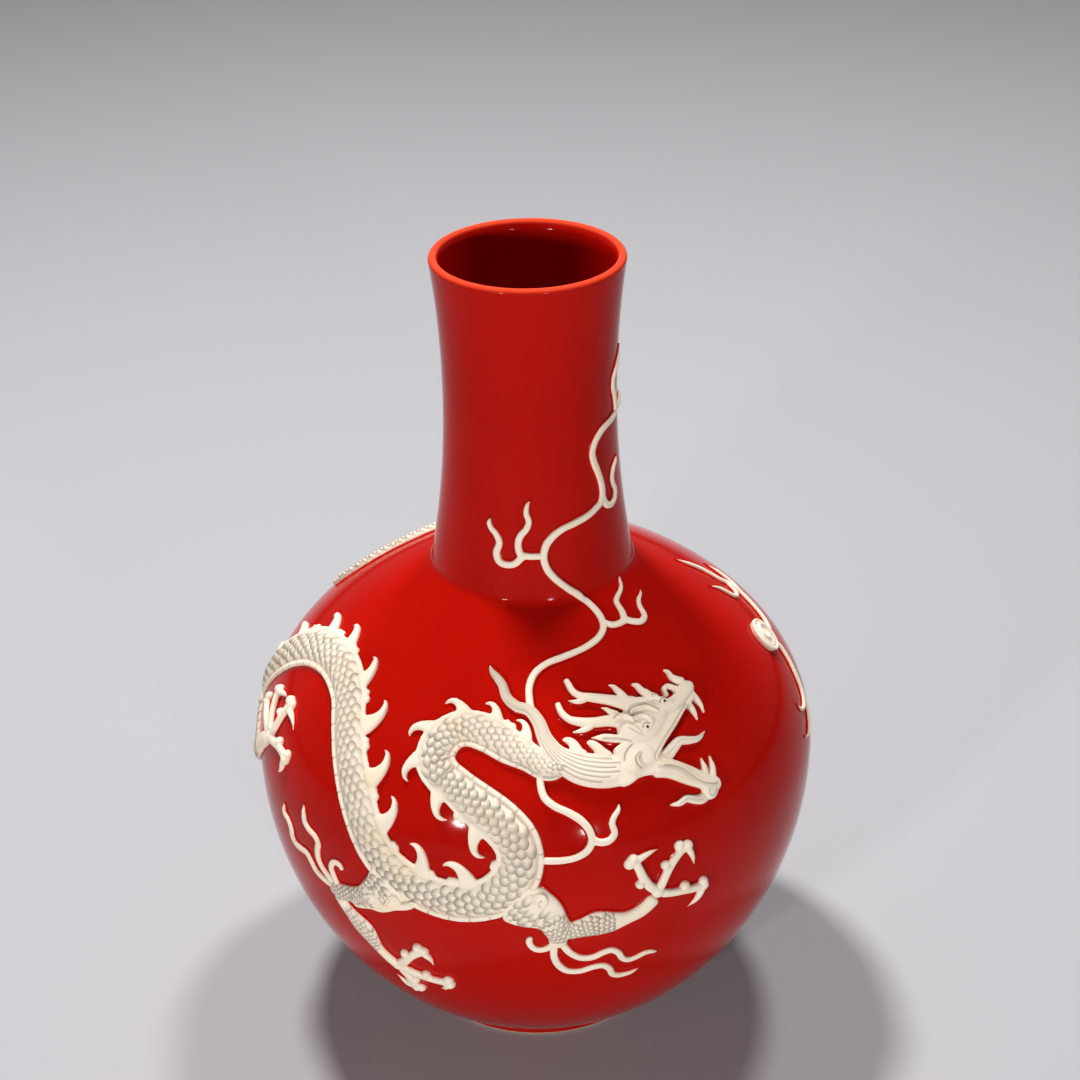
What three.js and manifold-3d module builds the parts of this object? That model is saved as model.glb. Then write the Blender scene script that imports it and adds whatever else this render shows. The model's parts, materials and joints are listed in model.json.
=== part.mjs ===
// Tianqiuping, a globular porcelain vase with a tall neck. Millimetres, +Z up.
// The vase stands on its foot ring at z = 0, with its axis on Z and its front towards -Y.
// The wall is thrown in three sections that are luted together at flat seams. The dragon, the
// flaming pearl and the cloud ribbons are sprigs: pieces of white clay laid on the curved wall.

import * as THREE from "three";
import Module from "manifold-3d";

const wasm = await Module();
wasm.setup();

// Thrown wall: outline
const vaseHeight = 552.5;
const mouthRadius = 62.7;
const waistRadius = 55.5; // narrowest girth of the neck
const waistDepth = 93.5; // from the rim down to the narrowest girth
const neckSweepRadius = 607; // upright curve of the neck below the waist
const bellyRadius = 190;
const bellyHeight = 199.5; // height of the widest girth
const bellyCrown = 138; // upright half axis of the belly above its widest girth
const shoulderBlend = 69.5; // reach of the soft fillet between belly and neck
const footRadius = 86;
const footHeight = 9;

// Thrown wall: thickness, foot and seams
const bellyWall = 7.5;
const rimWall = 5.8;
const baseThickness = 10;
const footRingWidth = 9;
const footRecess = 6;
const footChamfer = 1.5;
const neckSeamRise = 145.5; // from the widest girth up to the seam under the neck

// Clearances
const seatGap = 0.3; // under each sprig, where slip holds it to the wall
const luteGap = 0.3; // between sprigs that meet

// Sprigs: half widths and heights above the seat
const bodyHalfWidth = 17;
const bodyRise = 4.6;
const finHalfWidth = 4.6;
const finReach = 11.5;
const finRise = 3.4;
const headHalfWidth = 20;
const headRise = 6.2;
const fangRise = 4.4;
const hornHalfWidth = 4.2;
const hornRise = 4;
const earHalfWidth = 3.4;
const earRise = 3.2;
const eyeRadius = 5.2;
const eyeRise = 7.4;
const pupilRadius = 0.9;
const pupilDepth = 2.4;
const maneHalfWidth = 11;
const maneRise = 4.8;
const jawHalfWidth = 6.4;
const jawRise = 5;
const tongueHalfWidth = 4.3;
const tongueRise = 3.4;
const beardHalfWidth = 3.6;
const beardRise = 3;
const legHalfWidth = 11;
const legRise = 4.2;
const toeHalfWidth = 3.3;
const toeRise = 3.6;
const ballRadius = 3.6;
const ballRise = 4.4;
const ribbonHalfWidth = 2.5;
const ribbonRise = 2.4;
const pearlRadius = 12.4;
const pearlRise = 4.2;
const pearlSwirlHalfWidth = 2.2;
const pearlSwirlRise = 5.4;

// Fineness of the faceted surfaces
const turnSegments = 32;
const lipSegments = 4;
const wallStep = 27;
const shoulderStep = 9;
const bodyStep = 20;
const limbStep = 16;
const ribbonStep = 16;
const bendStep = 40; // degrees that a strip may turn between two of its rings

// Outline of the wall

const waistHeight = vaseHeight - waistDepth;
// The lower half of the belly is an ellipse that lands on the foot ring.
const bellyDrop = (bellyHeight - footHeight) / Math.sqrt(1 - (footRadius / bellyRadius) ** 2);
const neckSeamHeight = bellyHeight + neckSeamRise;

function neckRadius(z) {
  if (z < waistHeight) return waistRadius + (waistHeight - z) ** 2 / (2 * neckSweepRadius);
  const climb = (z - waistHeight) / waistDepth;
  return waistRadius + (mouthRadius - waistRadius) * climb ** 2;
}

// The outer radius at a height: belly below, neck above, and a soft fillet where they meet.
function outerRadius(z) {
  const halfAxis = z > bellyHeight ? bellyCrown : bellyDrop;
  const belly = bellyRadius * Math.sqrt(Math.max(0, 1 - ((z - bellyHeight) / halfAxis) ** 2));
  if (z <= bellyHeight) return belly;
  const neck = neckRadius(z);
  const apart = Math.abs(belly - neck);
  const larger = Math.max(belly, neck);
  if (apart >= shoulderBlend) return larger;
  return larger + (shoulderBlend - apart) ** 2 / (4 * shoulderBlend);
}

// Stations along the outline from the foot to the rim: radius, height and distance run.
const stationCount = 3000;
const stations = [];
for (let i = 0; i <= stationCount; i += 1) {
  const z = footHeight + ((vaseHeight - footHeight) * i) / stationCount;
  const r = outerRadius(z);
  const last = stations[i - 1];
  stations.push({ r, z, run: last ? last.run + Math.hypot(r - last.r, z - last.z) : 0 });
}
const outlineLength = stations[stationCount].run;

// A place on the outline by its climb, a percentage of the way from the foot to the rim.
function outlineAt(climb) {
  const run = (THREE.MathUtils.clamp(climb, 0, 100) / 100) * outlineLength;
  let low = 0;
  let high = stationCount;
  while (high - low > 1) {
    const middle = (low + high) >> 1;
    if (stations[middle].run > run) high = middle;
    else low = middle;
  }
  const [a, b] = [stations[low], stations[high]];
  const share = (run - a.run) / (b.run - a.run);
  const length = b.run - a.run;
  return {
    r: a.r + (b.r - a.r) * share,
    z: a.z + (b.z - a.z) * share,
    outward: (b.z - a.z) / length,
    upward: (a.r - b.r) / length,
  };
}

function climbAt(z) {
  const place = (stationCount * (z - footHeight)) / (vaseHeight - footHeight);
  const low = THREE.MathUtils.clamp(Math.floor(place), 0, stationCount - 1);
  const run = THREE.MathUtils.lerp(stations[low].run, stations[low + 1].run, place - low);
  return (100 * run) / outlineLength;
}

// A point over the wall: turn in degrees from the front, climb in percent, lift in millimetres.
function pointAt(turn, climb, lift) {
  const place = outlineAt(climb);
  const radius = place.r + lift * place.outward;
  const angle = THREE.MathUtils.degToRad(turn);
  const height = place.z + lift * place.upward;
  return [radius * Math.sin(angle), -radius * Math.cos(angle), height];
}

// A place on the wall moved by real distances round it and up it.
function shifted(turn, climb, round, up) {
  const girth = outlineAt(climb).r;
  return [turn + THREE.MathUtils.radToDeg(round / girth), climb + (100 * up) / outlineLength];
}

// Thrown sections

function wallAt(z) {
  if (z <= neckSeamHeight) return bellyWall;
  const share = (z - neckSeamHeight) / (vaseHeight - neckSeamHeight);
  return bellyWall + (rimWall - bellyWall) * share;
}

// Where the wall lies flat, its thickness is no longer measured level.
const leastOutwardShare = 0.5;
// The inside of the wall has longer steps than the outside.
const insideStepShare = 1.5;
const floorStepShare = 2;

// Outline points between two heights, spaced about a step apart, outside or inside the wall.
function wallPoints(fromHeight, toHeight, step, inside) {
  const from = climbAt(fromHeight);
  const to = climbAt(toHeight);
  const count = Math.max(2, Math.round(((Math.abs(to - from) / 100) * outlineLength) / step));
  const points = [];
  for (let i = 0; i <= count; i += 1) {
    const place = outlineAt(from + ((to - from) * i) / count);
    let { z } = place;
    if (i === 0) z = fromHeight;
    if (i === count) z = toHeight;
    const wall = inside ? wallAt(z) / Math.max(place.outward, leastOutwardShare) : 0;
    points.push(new THREE.Vector2(outerRadius(z) - wall, z));
  }
  return points;
}

function lathe(points) {
  return new THREE.LatheGeometry(points, turnSegments).rotateX(Math.PI / 2);
}

function lowerBellyGeometry() {
  const ringInside = footRadius - footRingWidth;
  const floorHeight = footRecess + baseThickness;
  const inside = wallPoints(bellyHeight, floorHeight + baseThickness, floorStepShare * wallStep, true);
  const floorRadius = inside[inside.length - 1].x - baseThickness;
  return lathe([
    new THREE.Vector2(0, footRecess),
    new THREE.Vector2(ringInside, footRecess),
    new THREE.Vector2(ringInside, footChamfer),
    new THREE.Vector2(ringInside + footChamfer, 0),
    new THREE.Vector2(footRadius - footChamfer, 0),
    new THREE.Vector2(footRadius, footChamfer),
    ...wallPoints(footHeight, bellyHeight, wallStep, false),
    ...inside,
    new THREE.Vector2(floorRadius, floorHeight),
    new THREE.Vector2(0, floorHeight),
  ]);
}

function upperBellyGeometry() {
  const shoulderHeight = neckSeamHeight - shoulderBlend / 2;
  const outside = [
    ...wallPoints(bellyHeight, shoulderHeight, wallStep, false),
    ...wallPoints(shoulderHeight, neckSeamHeight, shoulderStep, false).slice(1),
  ];
  const inside = wallPoints(neckSeamHeight, bellyHeight, insideStepShare * wallStep, true);
  return lathe([...outside, ...inside, outside[0].clone()]);
}

function neckGeometry() {
  const shoulderTop = neckSeamHeight + shoulderBlend / 2;
  const lipRadius = rimWall / 2;
  const lipHeight = vaseHeight - lipRadius;
  const lipCentre = outerRadius(lipHeight) - lipRadius;
  const lip = [];
  for (let i = 1; i < lipSegments; i += 1) {
    const angle = (Math.PI * i) / lipSegments;
    const x = lipCentre + lipRadius * Math.cos(angle);
    lip.push(new THREE.Vector2(x, lipHeight + lipRadius * Math.sin(angle)));
  }
  const outside = [
    ...wallPoints(neckSeamHeight, shoulderTop, shoulderStep, false),
    ...wallPoints(shoulderTop, lipHeight, wallStep, false).slice(1),
  ];
  const inside = wallPoints(lipHeight, neckSeamHeight, insideStepShare * wallStep, true);
  inside[0].x = lipCentre - lipRadius;
  return lathe([...outside, ...lip, ...inside, outside[0].clone()]);
}

// Solids laid on the wall

// A solid from rings of points, each ring as long as the next, with fans over the two ends.
function ringSolid(rings) {
  const sides = rings[0].length;
  const vertices = rings.flat(2);
  const triangles = [];
  for (let i = 0; i + 1 < rings.length; i += 1) {
    for (let j = 0; j < sides; j += 1) {
      const a = i * sides + j;
      const b = i * sides + ((j + 1) % sides);
      triangles.push(a, a + sides, b, b, a + sides, b + sides);
    }
  }
  const top = (rings.length - 1) * sides;
  for (let j = 1; j + 1 < sides; j += 1) {
    triangles.push(0, j, j + 1);
    triangles.push(top, top + j + 1, top + j);
  }
  return solidOf(vertices, triangles);
}

function solidOf(vertices, triangles) {
  return new wasm.Manifold(
    new wasm.Mesh({
      numProp: 3,
      vertProperties: Float32Array.from(vertices),
      triVerts: Uint32Array.from(triangles),
    }),
  );
}

// Sections of a laid strip, as shares of its half width and its rise. The first point of each
// sees all the others, and the points run from the right side over the crown to the left.
const ribbonSectionShares = [[1, 0], [0.6, 0.95], [-0.6, 0.95], [-1, 0]];
const roundSectionShares = [
  [0, 0], [1, 0], [0.88, 0.6], [0.36, 0.97], [-0.36, 0.97], [-0.88, 0.6], [-1, 0],
];
// The dragon's body has scales over its crown and a lower, plain belly band on its left side.
const bodySectionShares = [
  [0, 0], [1, 0], [0.82, 0.7], [0.05, 1], [-0.54, 0.86], [-0.66, 0.54], [-0.94, 0.46], [-1, 0],
];
const clearSectionShares = [[0, -1], [1, -1], [1, 1], [0, 1], [-1, 1], [-1, -1]];

// One percent of climb is about as long as two degrees of turn.
const climbRatio = 2;
const rowDivisions = 40;

// A strip along a route of rows [turn, climb, width share]. A strip keeps the wall's curve,
// because each of its points is placed over the wall by itself.
function routeCurve(route) {
  const points = route.map(
    ([turn, climb, width]) => new THREE.Vector3(turn, climb * climbRatio, width),
  );
  const curve = new THREE.CatmullRomCurve3(points, false, "centripetal");
  curve.arcLengthDivisions = rowDivisions * route.length;
  const at = (share) => {
    const point = curve.getPointAt(THREE.MathUtils.clamp(share, 0, 1));
    return { turn: point.x, climb: point.y / climbRatio, width: point.z };
  };
  return at;
}

// The share of a route over which its heading is taken.
const nudgeShare = 1e-3;

// The last ring but one is left out where it lies closer to the end than this share of a step.
const lastRingShare = 0.25;

// How far round and how far up the wall one place lies from another.
function wallDistance(a, b) {
  const girth = outlineAt((a.climb + b.climb) / 2).r;
  const round = THREE.MathUtils.degToRad(b.turn - a.turn) * girth;
  const up = ((b.climb - a.climb) / 100) * outlineLength;
  return [round, up];
}

function routeLength(at) {
  const pieceCount = 60;
  let length = 0;
  for (let i = 0; i < pieceCount; i += 1) {
    length += Math.hypot(...wallDistance(at(i / pieceCount), at((i + 1) / pieceCount)));
  }
  return length;
}

// How far a flat facet of a given span dips below the round surface that its corners lie on.
function facetDip(span, girth) {
  return span ** 2 / (8 * girth);
}

// The span of a facet that dips by a given amount.
function facetSpan(dip, girth) {
  return Math.sqrt(8 * girth * dip);
}

// Where a strip's rings lie along its route: closer where it bends or where the wall is slim.
function ringShares(at, length, step, from, to) {
  const stepDivisions = 12;
  const fine = Math.ceil((stepDivisions * length * (to - from)) / step);
  const shares = [from];
  const headingAt = (share) => {
    const [round, up] = wallDistance(at(share - nudgeShare), at(share + nudgeShare));
    return Math.atan2(up, round);
  };
  let run = 0;
  let bend = 0;
  let heading = headingAt(from);
  for (let i = 1; i <= fine; i += 1) {
    const share = from + ((to - from) * i) / fine;
    const next = headingAt(share);
    let turned = Math.abs(next - heading);
    if (turned > Math.PI) turned = 2 * Math.PI - turned;
    heading = next;
    bend += THREE.MathUtils.radToDeg(turned);
    run += (length * (to - from)) / fine;
    const girth = outlineAt(at(share).climb).r;
    const limit = Math.min(step, facetSpan(seatGap, girth));
    if (run >= limit || bend >= bendStep) {
      shares.push(share);
      run = 0;
      bend = 0;
    }
  }
  // The last ring lies at the end itself.
  if (run < lastRingShare * step && shares.length > 2) shares.pop();
  if (shares[shares.length - 1] < to) shares.push(to);
  return shares;
}

// How much longer a facet may be on the outside of a bend than along the route.
const bendReserveShare = 1.4;

function strip({ route, halfWidth, rise, section = ribbonSectionShares, step = ribbonStep,
  from = 0, to = 1 }) {
  const at = routeCurve(route);
  const length = routeLength(at);
  const shares = ringShares(at, length, step, from, to);
  const last = shares.length - 1;
  const make = (clear) => {
    const sectionShares = clear ? clearSectionShares : section;
    const rings = [];
    for (let i = 0; i <= last; i += 1) {
      const share = shares[i];
      const here = at(share);
      const [round, up] = wallDistance(at(share - nudgeShare), at(share + nudgeShare));
      const size = Math.hypot(round, up);
      const half = here.width * halfWidth + (clear ? luteGap : 0);
      // The strip is raised so that its flat facets, too, clear the wall by the seat gap.
      const spacing = length * Math.max((shares[i + 1] ?? 0) - share, share - (shares[i - 1] ?? 1));
      const facet = (section[0][0] - section[section.length - 1][0]) * half;
      const span = Math.hypot(facet, spacing * bendReserveShare);
      const seat = seatGap + facetDip(span, outlineAt(here.climb).r);
      // A clear strip runs on straight past both its ends by the gap.
      const beyond = clear ? luteGap * ((i === last ? 1 : 0) - (i === 0 ? 1 : 0)) : 0;
      rings.push(
        sectionShares.map(([across, lift]) => {
          const side = across * half;
          const [turn, climb] = shifted(
            here.turn,
            here.climb,
            (side * up + beyond * round) / size,
            (-side * round + beyond * up) / size,
          );
          const height = clear ? lift * (rise + headRise) : seat + lift * rise;
          return pointAt(turn, climb, height);
        }),
      );
    }
    return ringSolid(rings);
  };
  return { solid: () => make(false), clear: () => make(true), at, length };
}

// A low round knob laid on the wall, its dome in shares of its radius and its rise.
const padSides = 5;
const padDomeShares = [[1, 0], [0.78, 0.74]];

function knob({ place, radius, rise, sides = padSides, domeShares = padDomeShares }) {
  const make = (clear) => {
    const [turn, climb] = place;
    const reach = radius + (clear ? luteGap : 0);
    const ringShare = clear ? [[1, -1], [1, 1]] : domeShares;
    const lift = (share) => (clear ? share * (rise + headRise) : seatGap + share * rise);
    const vertices = [...pointAt(turn, climb, lift(clear ? -1 : 0))];
    for (const [across, up] of ringShare) {
      for (let j = 0; j < sides; j += 1) {
        const angle = (2 * Math.PI * j) / sides;
        const round = across * reach * Math.cos(angle);
        const climbing = across * reach * Math.sin(angle);
        const [atTurn, atClimb] = shifted(turn, climb, round, climbing);
        vertices.push(...pointAt(atTurn, atClimb, lift(up)));
      }
    }
    vertices.push(...pointAt(turn, climb, lift(1)));
    const rings = ringShare.length;
    const apex = rings * sides + 1;
    const triangles = [];
    for (let j = 0; j < sides; j += 1) {
      const next = (j + 1) % sides;
      triangles.push(0, 1 + next, 1 + j);
      for (let i = 0; i + 1 < rings; i += 1) {
        const a = 1 + i * sides + j;
        const b = 1 + i * sides + next;
        triangles.push(a, b, a + sides, b, b + sides, a + sides);
      }
      triangles.push(apex - sides + j, apex - sides + next, apex);
    }
    return solidOf(vertices, triangles);
  };
  return { solid: () => make(false), clear: () => make(true) };
}

const ribbon = (route) => strip({ route, halfWidth: ribbonHalfWidth, rise: ribbonRise });
const ball = (place, size = 1) =>
  knob({ place, radius: ballRadius * size, rise: ballRise * size });

// The dragon's body, in lengths along one route from the neck to the tail

const bodyRouteShares = [
  [3, 48.4, 0.5], [-1.5, 49.5, 0.56], [-6, 50.5, 0.68], [-11, 51.6, 0.73], [-16, 52, 0.72],
  [-20.3, 51.5, 0.74], [-23, 50, 0.8], [-23, 48.3, 0.8], [-20.6, 47, 0.76], [-17, 46.1, 0.74],
  [-12.4, 44.7, 0.84], [-7.6, 43.2, 0.88], [-4.4, 41.5, 0.9], [-3.3, 39.6, 0.9],
  [-4.5, 37.3, 0.94], [-7.8, 35.4, 0.96], [-12.2, 34.4, 0.96], [-16.6, 34.1, 0.97],
  [-21, 34.4, 0.98], [-25.3, 35.1, 0.98], [-29.2, 36.2, 0.95], [-32.2, 37.5, 0.92],
  [-35, 39.4, 0.9], [-37.8, 41.6, 0.9], [-41.4, 44.2, 0.87], [-45.1, 46.6, 0.84],
  [-49.2, 49.1, 0.84], [-53.6, 51.1, 0.86], [-60, 52.3, 0.87], [-66.9, 52.6, 0.87], [-73, 52.2, 0.9],
  [-79.2, 51.1, 0.94], [-85, 48.9, 0.95], [-90, 45.9, 0.95], [-94.5, 42.6, 0.95],
  [-100, 39.3, 0.95], [-107, 37, 0.95], [-115, 36.6, 0.93], [-123, 38.4, 0.92],
  [-129, 42, 0.9], [-135, 46, 0.88], [-144, 49, 0.86], [-154, 50, 0.84], [-164, 48.6, 0.8],
  [-172, 45, 0.78], [-180, 41, 0.76], [-189, 38.4, 0.72], [-198, 39, 0.68], [-204, 42.4, 0.64],
  [-204.5, 46.6, 0.6], [-200, 50.4, 0.56], [-192, 53.2, 0.52], [-182, 55.4, 0.48],
  [-171, 57.8, 0.44], [-159, 60.4, 0.4], [-147, 62.8, 0.36], [-136, 63.8, 0.32],
  [-127, 62.2, 0.28], [-119.5, 59, 0.24], [-113.5, 55.4, 0.18], [-109.8, 51.6, 0.06],
];

// Each length: the place on the route where it ends, and the roots of its fins.
const bodyLengths = [
  {
    name: "dragon_body_fore",
    endPlaceShare: [-15, 52],
    finRootShares: [[-3.4, 51.6], [-11.2, 53.2]],
  },
  {
    name: "dragon_body_loop",
    endPlaceShare: [-20.6, 47],
    finRootShares: [[-20.3, 53.4], [-27, 50.8], [-26.9, 47.4]],
  },
  {
    name: "dragon_body_chest",
    endPlaceShare: [-18.8, 34.2],
    finRootShares: [[-19.8, 44.4], [-11.2, 41.4], [-14.7, 37]],
  },
  {
    name: "dragon_body_shoulder",
    endPlaceShare: [-60, 52.3],
    finRootShares: [[-23.4, 37.7], [-31.4, 41.7], [-36, 45.8], [-42.6, 50.4], [-53, 53.6]],
  },
  {
    name: "dragon_body_flank",
    endPlaceShare: [-118.5, 37.2],
    finRootShares: [[-68.5, 54.9], [-80.5, 53.6], [-91, 49], [-101, 42.4], [-114, 39.6]],
  },
  {
    name: "dragon_body_rear",
    endPlaceShare: [-185, 39.5],
    finRootShares: [[-124.5, 43.4], [-135, 48.8], [-150, 52.4], [-167, 50.2], [-177.5, 44.8]],
  },
  {
    name: "dragon_tail",
    endPlaceShare: [-109.8, 51.6],
    finRootShares: [
      [-190, 40.8], [-200, 44], [-196.5, 50.2], [-183, 54], [-167, 57.6], [-150, 61.4],
      [-134.5, 62.6],
    ],
  },
];

// A hooked fin in shares of its reach: along the body towards the tail, out from the root, and
// its width share. Its root is buried in the body.
const finShapeShares = [
  [-0.62, -0.86, 1.1], [-0.12, 0.14, 0.94], [0.16, 0.64, 0.6], [0.52, 0.88, 0.38],
  [0.94, 0.72, 0.12],
];

// A fin is smaller where the body is slimmer.
const finLeastShare = 0.45;
const finGrowthShare = 0.6;

// The place on a route that lies nearest to a given place.
function nearestOn(at, [turn, climb]) {
  const sampleCount = 600;
  const nearest = { gap: Infinity };
  for (let i = 0; i <= sampleCount; i += 1) {
    const share = i / sampleCount;
    const here = at(share);
    const away = wallDistance({ turn, climb }, here);
    const gap = Math.hypot(...away);
    if (gap < nearest.gap) Object.assign(nearest, { gap, share, away, width: here.width });
  }
  return nearest;
}

function fin(place, bodyAt) {
  const { gap, share, away, width: girth } = nearestOn(bodyAt, place);
  const size = finLeastShare + finGrowthShare * girth;
  const along = wallDistance(bodyAt(share - nudgeShare), bodyAt(share + nudgeShare));
  const run = Math.hypot(...along);
  const reach = finReach * size;
  const route = finShapeShares.map(([ahead, outward, width]) => {
    const round = reach * ((ahead * along[0]) / run - (outward * away[0]) / gap);
    const up = reach * ((ahead * along[1]) / run - (outward * away[1]) / gap);
    return [...shifted(...place, round, up), width * size];
  });
  return strip({ route, halfWidth: finHalfWidth, rise: finRise, step: limbStep });
}

function bodySprigs() {
  const at = routeCurve(bodyRouteShares);
  const jointShare = luteGap / routeLength(at);
  let start = 0;
  return bodyLengths.map(({ name, endPlaceShare, finRootShares }) => {
    const end = nearestOn(at, endPlaceShare).share;
    const spine = strip({
      route: bodyRouteShares,
      halfWidth: bodyHalfWidth,
      rise: bodyRise,
      section: bodySectionShares,
      step: bodyStep,
      from: start === 0 ? 0 : start + jointShare,
      to: end,
    });
    start = end;
    return { name, parts: [spine, ...finRootShares.map((place) => fin(place, at))] };
  });
}

// Head

const skullRouteShares = [
  [20.3, 50.1, 0.56], [24, 50.9, 0.82], [27.5, 51.2, 0.86], [30.5, 51.7, 0.68],
  [33.5, 52.1, 0.48], [36.3, 51.8, 0.3], [39.3, 52.1, 0.28], [42.3, 52.7, 0.36],
  [44.5, 52.95, 0.28], [45.8, 53.05, 0.1],
];
const cheekRouteShares = [
  [17.6, 47.2, 0.42], [21, 47.6, 0.62], [24.5, 48.1, 0.66], [27.6, 48.5, 0.42],
];
const cheekLockShares = [[22, 49.2, 0.26], [19.4, 49.5, 0.17], [17.5, 49.1, 0.05]];
const browSpikeShares = [
  [33.4, 52.8, 0.24], [31.6, 53.7, 0.2], [30.6, 54.6, 0.14], [29.9, 55.3, 0.11],
  [28.6, 55.5, 0.03],
];
const nostrilShares = [
  [40.2, 52.7, 0.16], [39.7, 53.5, 0.11], [38.4, 53.9, 0.09], [37.1, 53.6, 0.09],
  [36.7, 52.8, 0.1],
];
const noseHornShares = [
  [43.5, 53.1, 0.22], [42.1, 54, 0.17], [41.4, 54.7, 0.12], [41.4, 55.3, 0.09],
  [40.7, 55.6, 0.04],
];
const upperFangShares = [
  [[40.4, 51.9, 0.14], [41.4, 50.9, 0.12], [41.6, 50.2, 0.08], [41.4, 49.5, 0.02]],
  [[43.2, 52.3, 0.15], [44.2, 51.3, 0.12], [44.5, 50.6, 0.08], [44.2, 49.8, 0.02]],
];
const eyePlaceShares = [[27.1, 50.8], [33.9, 52.6]];
const cheekRiseShare = 0.86;

function skullParts() {
  const onHead = (route, rise, section) =>
    strip({ route, halfWidth: headHalfWidth, rise, section, step: limbStep });
  return [
    onHead(skullRouteShares, headRise, roundSectionShares),
    onHead(cheekRouteShares, headRise * cheekRiseShare, roundSectionShares),
    ...[cheekLockShares, browSpikeShares, nostrilShares, noseHornShares, ...upperFangShares].map(
      (route) => onHead(route, fangRise),
    ),
    ...eyePlaceShares.map((place) => knob({ place, radius: eyeRadius, rise: eyeRise })),
  ];
}

// Each pupil is a pricked hole in the middle of an eye.
function pupilHole([turn, climb]) {
  const sideCount = 8;
  const ring = (lift) => {
    const points = [];
    for (let j = 0; j < sideCount; j += 1) {
      const angle = (-2 * Math.PI * j) / sideCount;
      const round = pupilRadius * Math.cos(angle);
      const up = pupilRadius * Math.sin(angle);
      points.push(pointAt(...shifted(turn, climb, round, up), lift));
    }
    return points;
  };
  return ringSolid([ring(seatGap + eyeRise - pupilDepth), ring(seatGap + eyeRise + pupilDepth)]);
}

const hornUpperShares = [
  [
    [26.5, 53.2, 1.4], [21, 54.35, 1], [16, 54.95, 0.85], [12.8, 55.35, 0.72],
    [11, 55.9, 0.66], [10.1, 56.7, 0.62], [9.5, 57.3, 0.5],
  ],
  [[15, 55, 0.6], [12, 54.78, 0.55], [9.2, 55, 0.12]],
  [[25, 53.9, 0.95], [24, 54.9, 0.7], [23, 55.7, 0.42], [21.7, 55.95, 0.1]],
];
const hornLowerShares = [
  [
    [24, 51.8, 1.4], [19, 52.35, 1.05], [15, 52.4, 0.95], [11.5, 52.65, 0.85],
    [8.8, 53.05, 0.72], [7, 53.8, 0.66], [6.1, 54.9, 0.5],
  ],
  [[14.5, 52.2, 0.7], [12, 51.85, 0.58], [9, 51.7, 0.12]],
  [[21.5, 52.6, 0.85], [20, 53.1, 0.6], [18.8, 53.6, 0.36], [17.6, 53.8, 0.1]],
];
const earShares = [[23, 50.2, 0.8], [19.5, 50.4, 0.95], [16.5, 50.75, 0.85], [13.3, 50.95, 0.1]];
const maneShares = [
  [
    [-14.9, 58.8, 0.06], [-13.4, 58.2, 0.26], [-10.9, 57.3, 0.4], [-8.7, 56.5, 0.44],
    [-7.2, 55.4, 0.46], [-4.5, 54.6, 0.46], [-1.2, 54.1, 0.48], [1.2, 52.9, 0.48],
    [2.7, 51.2, 0.54], [5, 49.5, 0.68], [9, 48.3, 0.92], [14, 47.6, 1], [19, 47.3, 0.9],
  ],
  [[11, 48.9, 0.5], [9.6, 49.6, 0.4], [8.9, 50.5, 0.28], [7.6, 51, 0.18], [6.3, 51.05, 0.05]],
  [[16.5, 48.4, 0.5], [15.2, 49.2, 0.38], [14.3, 49.9, 0.27], [13, 50.45, 0.18],
    [12, 50.5, 0.05]],
];
const jawShares = [
  [25.6, 47, 1.15], [29, 46.4, 1], [32.5, 45.3, 0.95], [35.8, 44.1, 0.86], [38, 43.3, 0.95],
  [40, 43.2, 0.5],
];
const lowerFangShares = [
  [[36.6, 44, 0.4], [37.6, 45, 0.32], [37.9, 46.1, 0.06]],
  [[38.4, 43.6, 0.42], [39.6, 44.8, 0.32], [40.2, 45.9, 0.06]],
];
const chinPlaceShare = [37.3, 42.8];
const tongueShares = [
  [28, 47.6, 0.8], [30, 47.6, 1], [32, 48, 0.9], [34.3, 48.4, 0.7], [36.8, 48.1, 0.6],
  [39.2, 47.9, 0.45], [42.2, 48.3, 0.08],
];
const beardShares = [
  [37, 42.7, 1], [35, 42.3, 1], [33.1, 42.55, 0.8], [31.5, 42.9, 0.7], [29.6, 42.7, 0.55],
  [27.2, 42.85, 0.1],
];

const horn = (route) => strip({ route, halfWidth: hornHalfWidth, rise: hornRise, step: limbStep });
const lock = (route) =>
  strip({ route, halfWidth: maneHalfWidth, rise: maneRise, section: roundSectionShares });

function headSprigs() {
  const jaw = (route, section) =>
    strip({ route, halfWidth: jawHalfWidth, rise: jawRise, section, step: limbStep });
  return [
    { name: "dragon_skull", parts: skullParts(), holes: eyePlaceShares.map(pupilHole) },
    {
      name: "dragon_lower_jaw",
      parts: [
        jaw(jawShares, roundSectionShares),
        ...lowerFangShares.map((route) => jaw(route)),
        knob({ place: chinPlaceShare, radius: jawHalfWidth, rise: jawRise, sides: 9 }),
      ],
      under: ["dragon_skull"],
    },
    {
      name: "dragon_tongue",
      parts: [strip({ route: tongueShares, halfWidth: tongueHalfWidth, rise: tongueRise })],
      under: ["dragon_skull", "dragon_lower_jaw"],
    },
    {
      name: "dragon_beard",
      parts: [strip({ route: beardShares, halfWidth: beardHalfWidth, rise: beardRise })],
      under: ["dragon_lower_jaw"],
    },
    { name: "dragon_horn_upper", parts: hornUpperShares.map(horn), under: ["dragon_skull"] },
    { name: "dragon_horn_lower", parts: hornLowerShares.map(horn), under: ["dragon_skull"] },
    {
      name: "dragon_ear",
      parts: [strip({ route: earShares, halfWidth: earHalfWidth, rise: earRise })],
      under: ["dragon_skull"],
    },
    { name: "dragon_mane", parts: maneShares.map(lock), under: ["dragon_skull"] },
  ];
}

// Legs and paws

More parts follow.
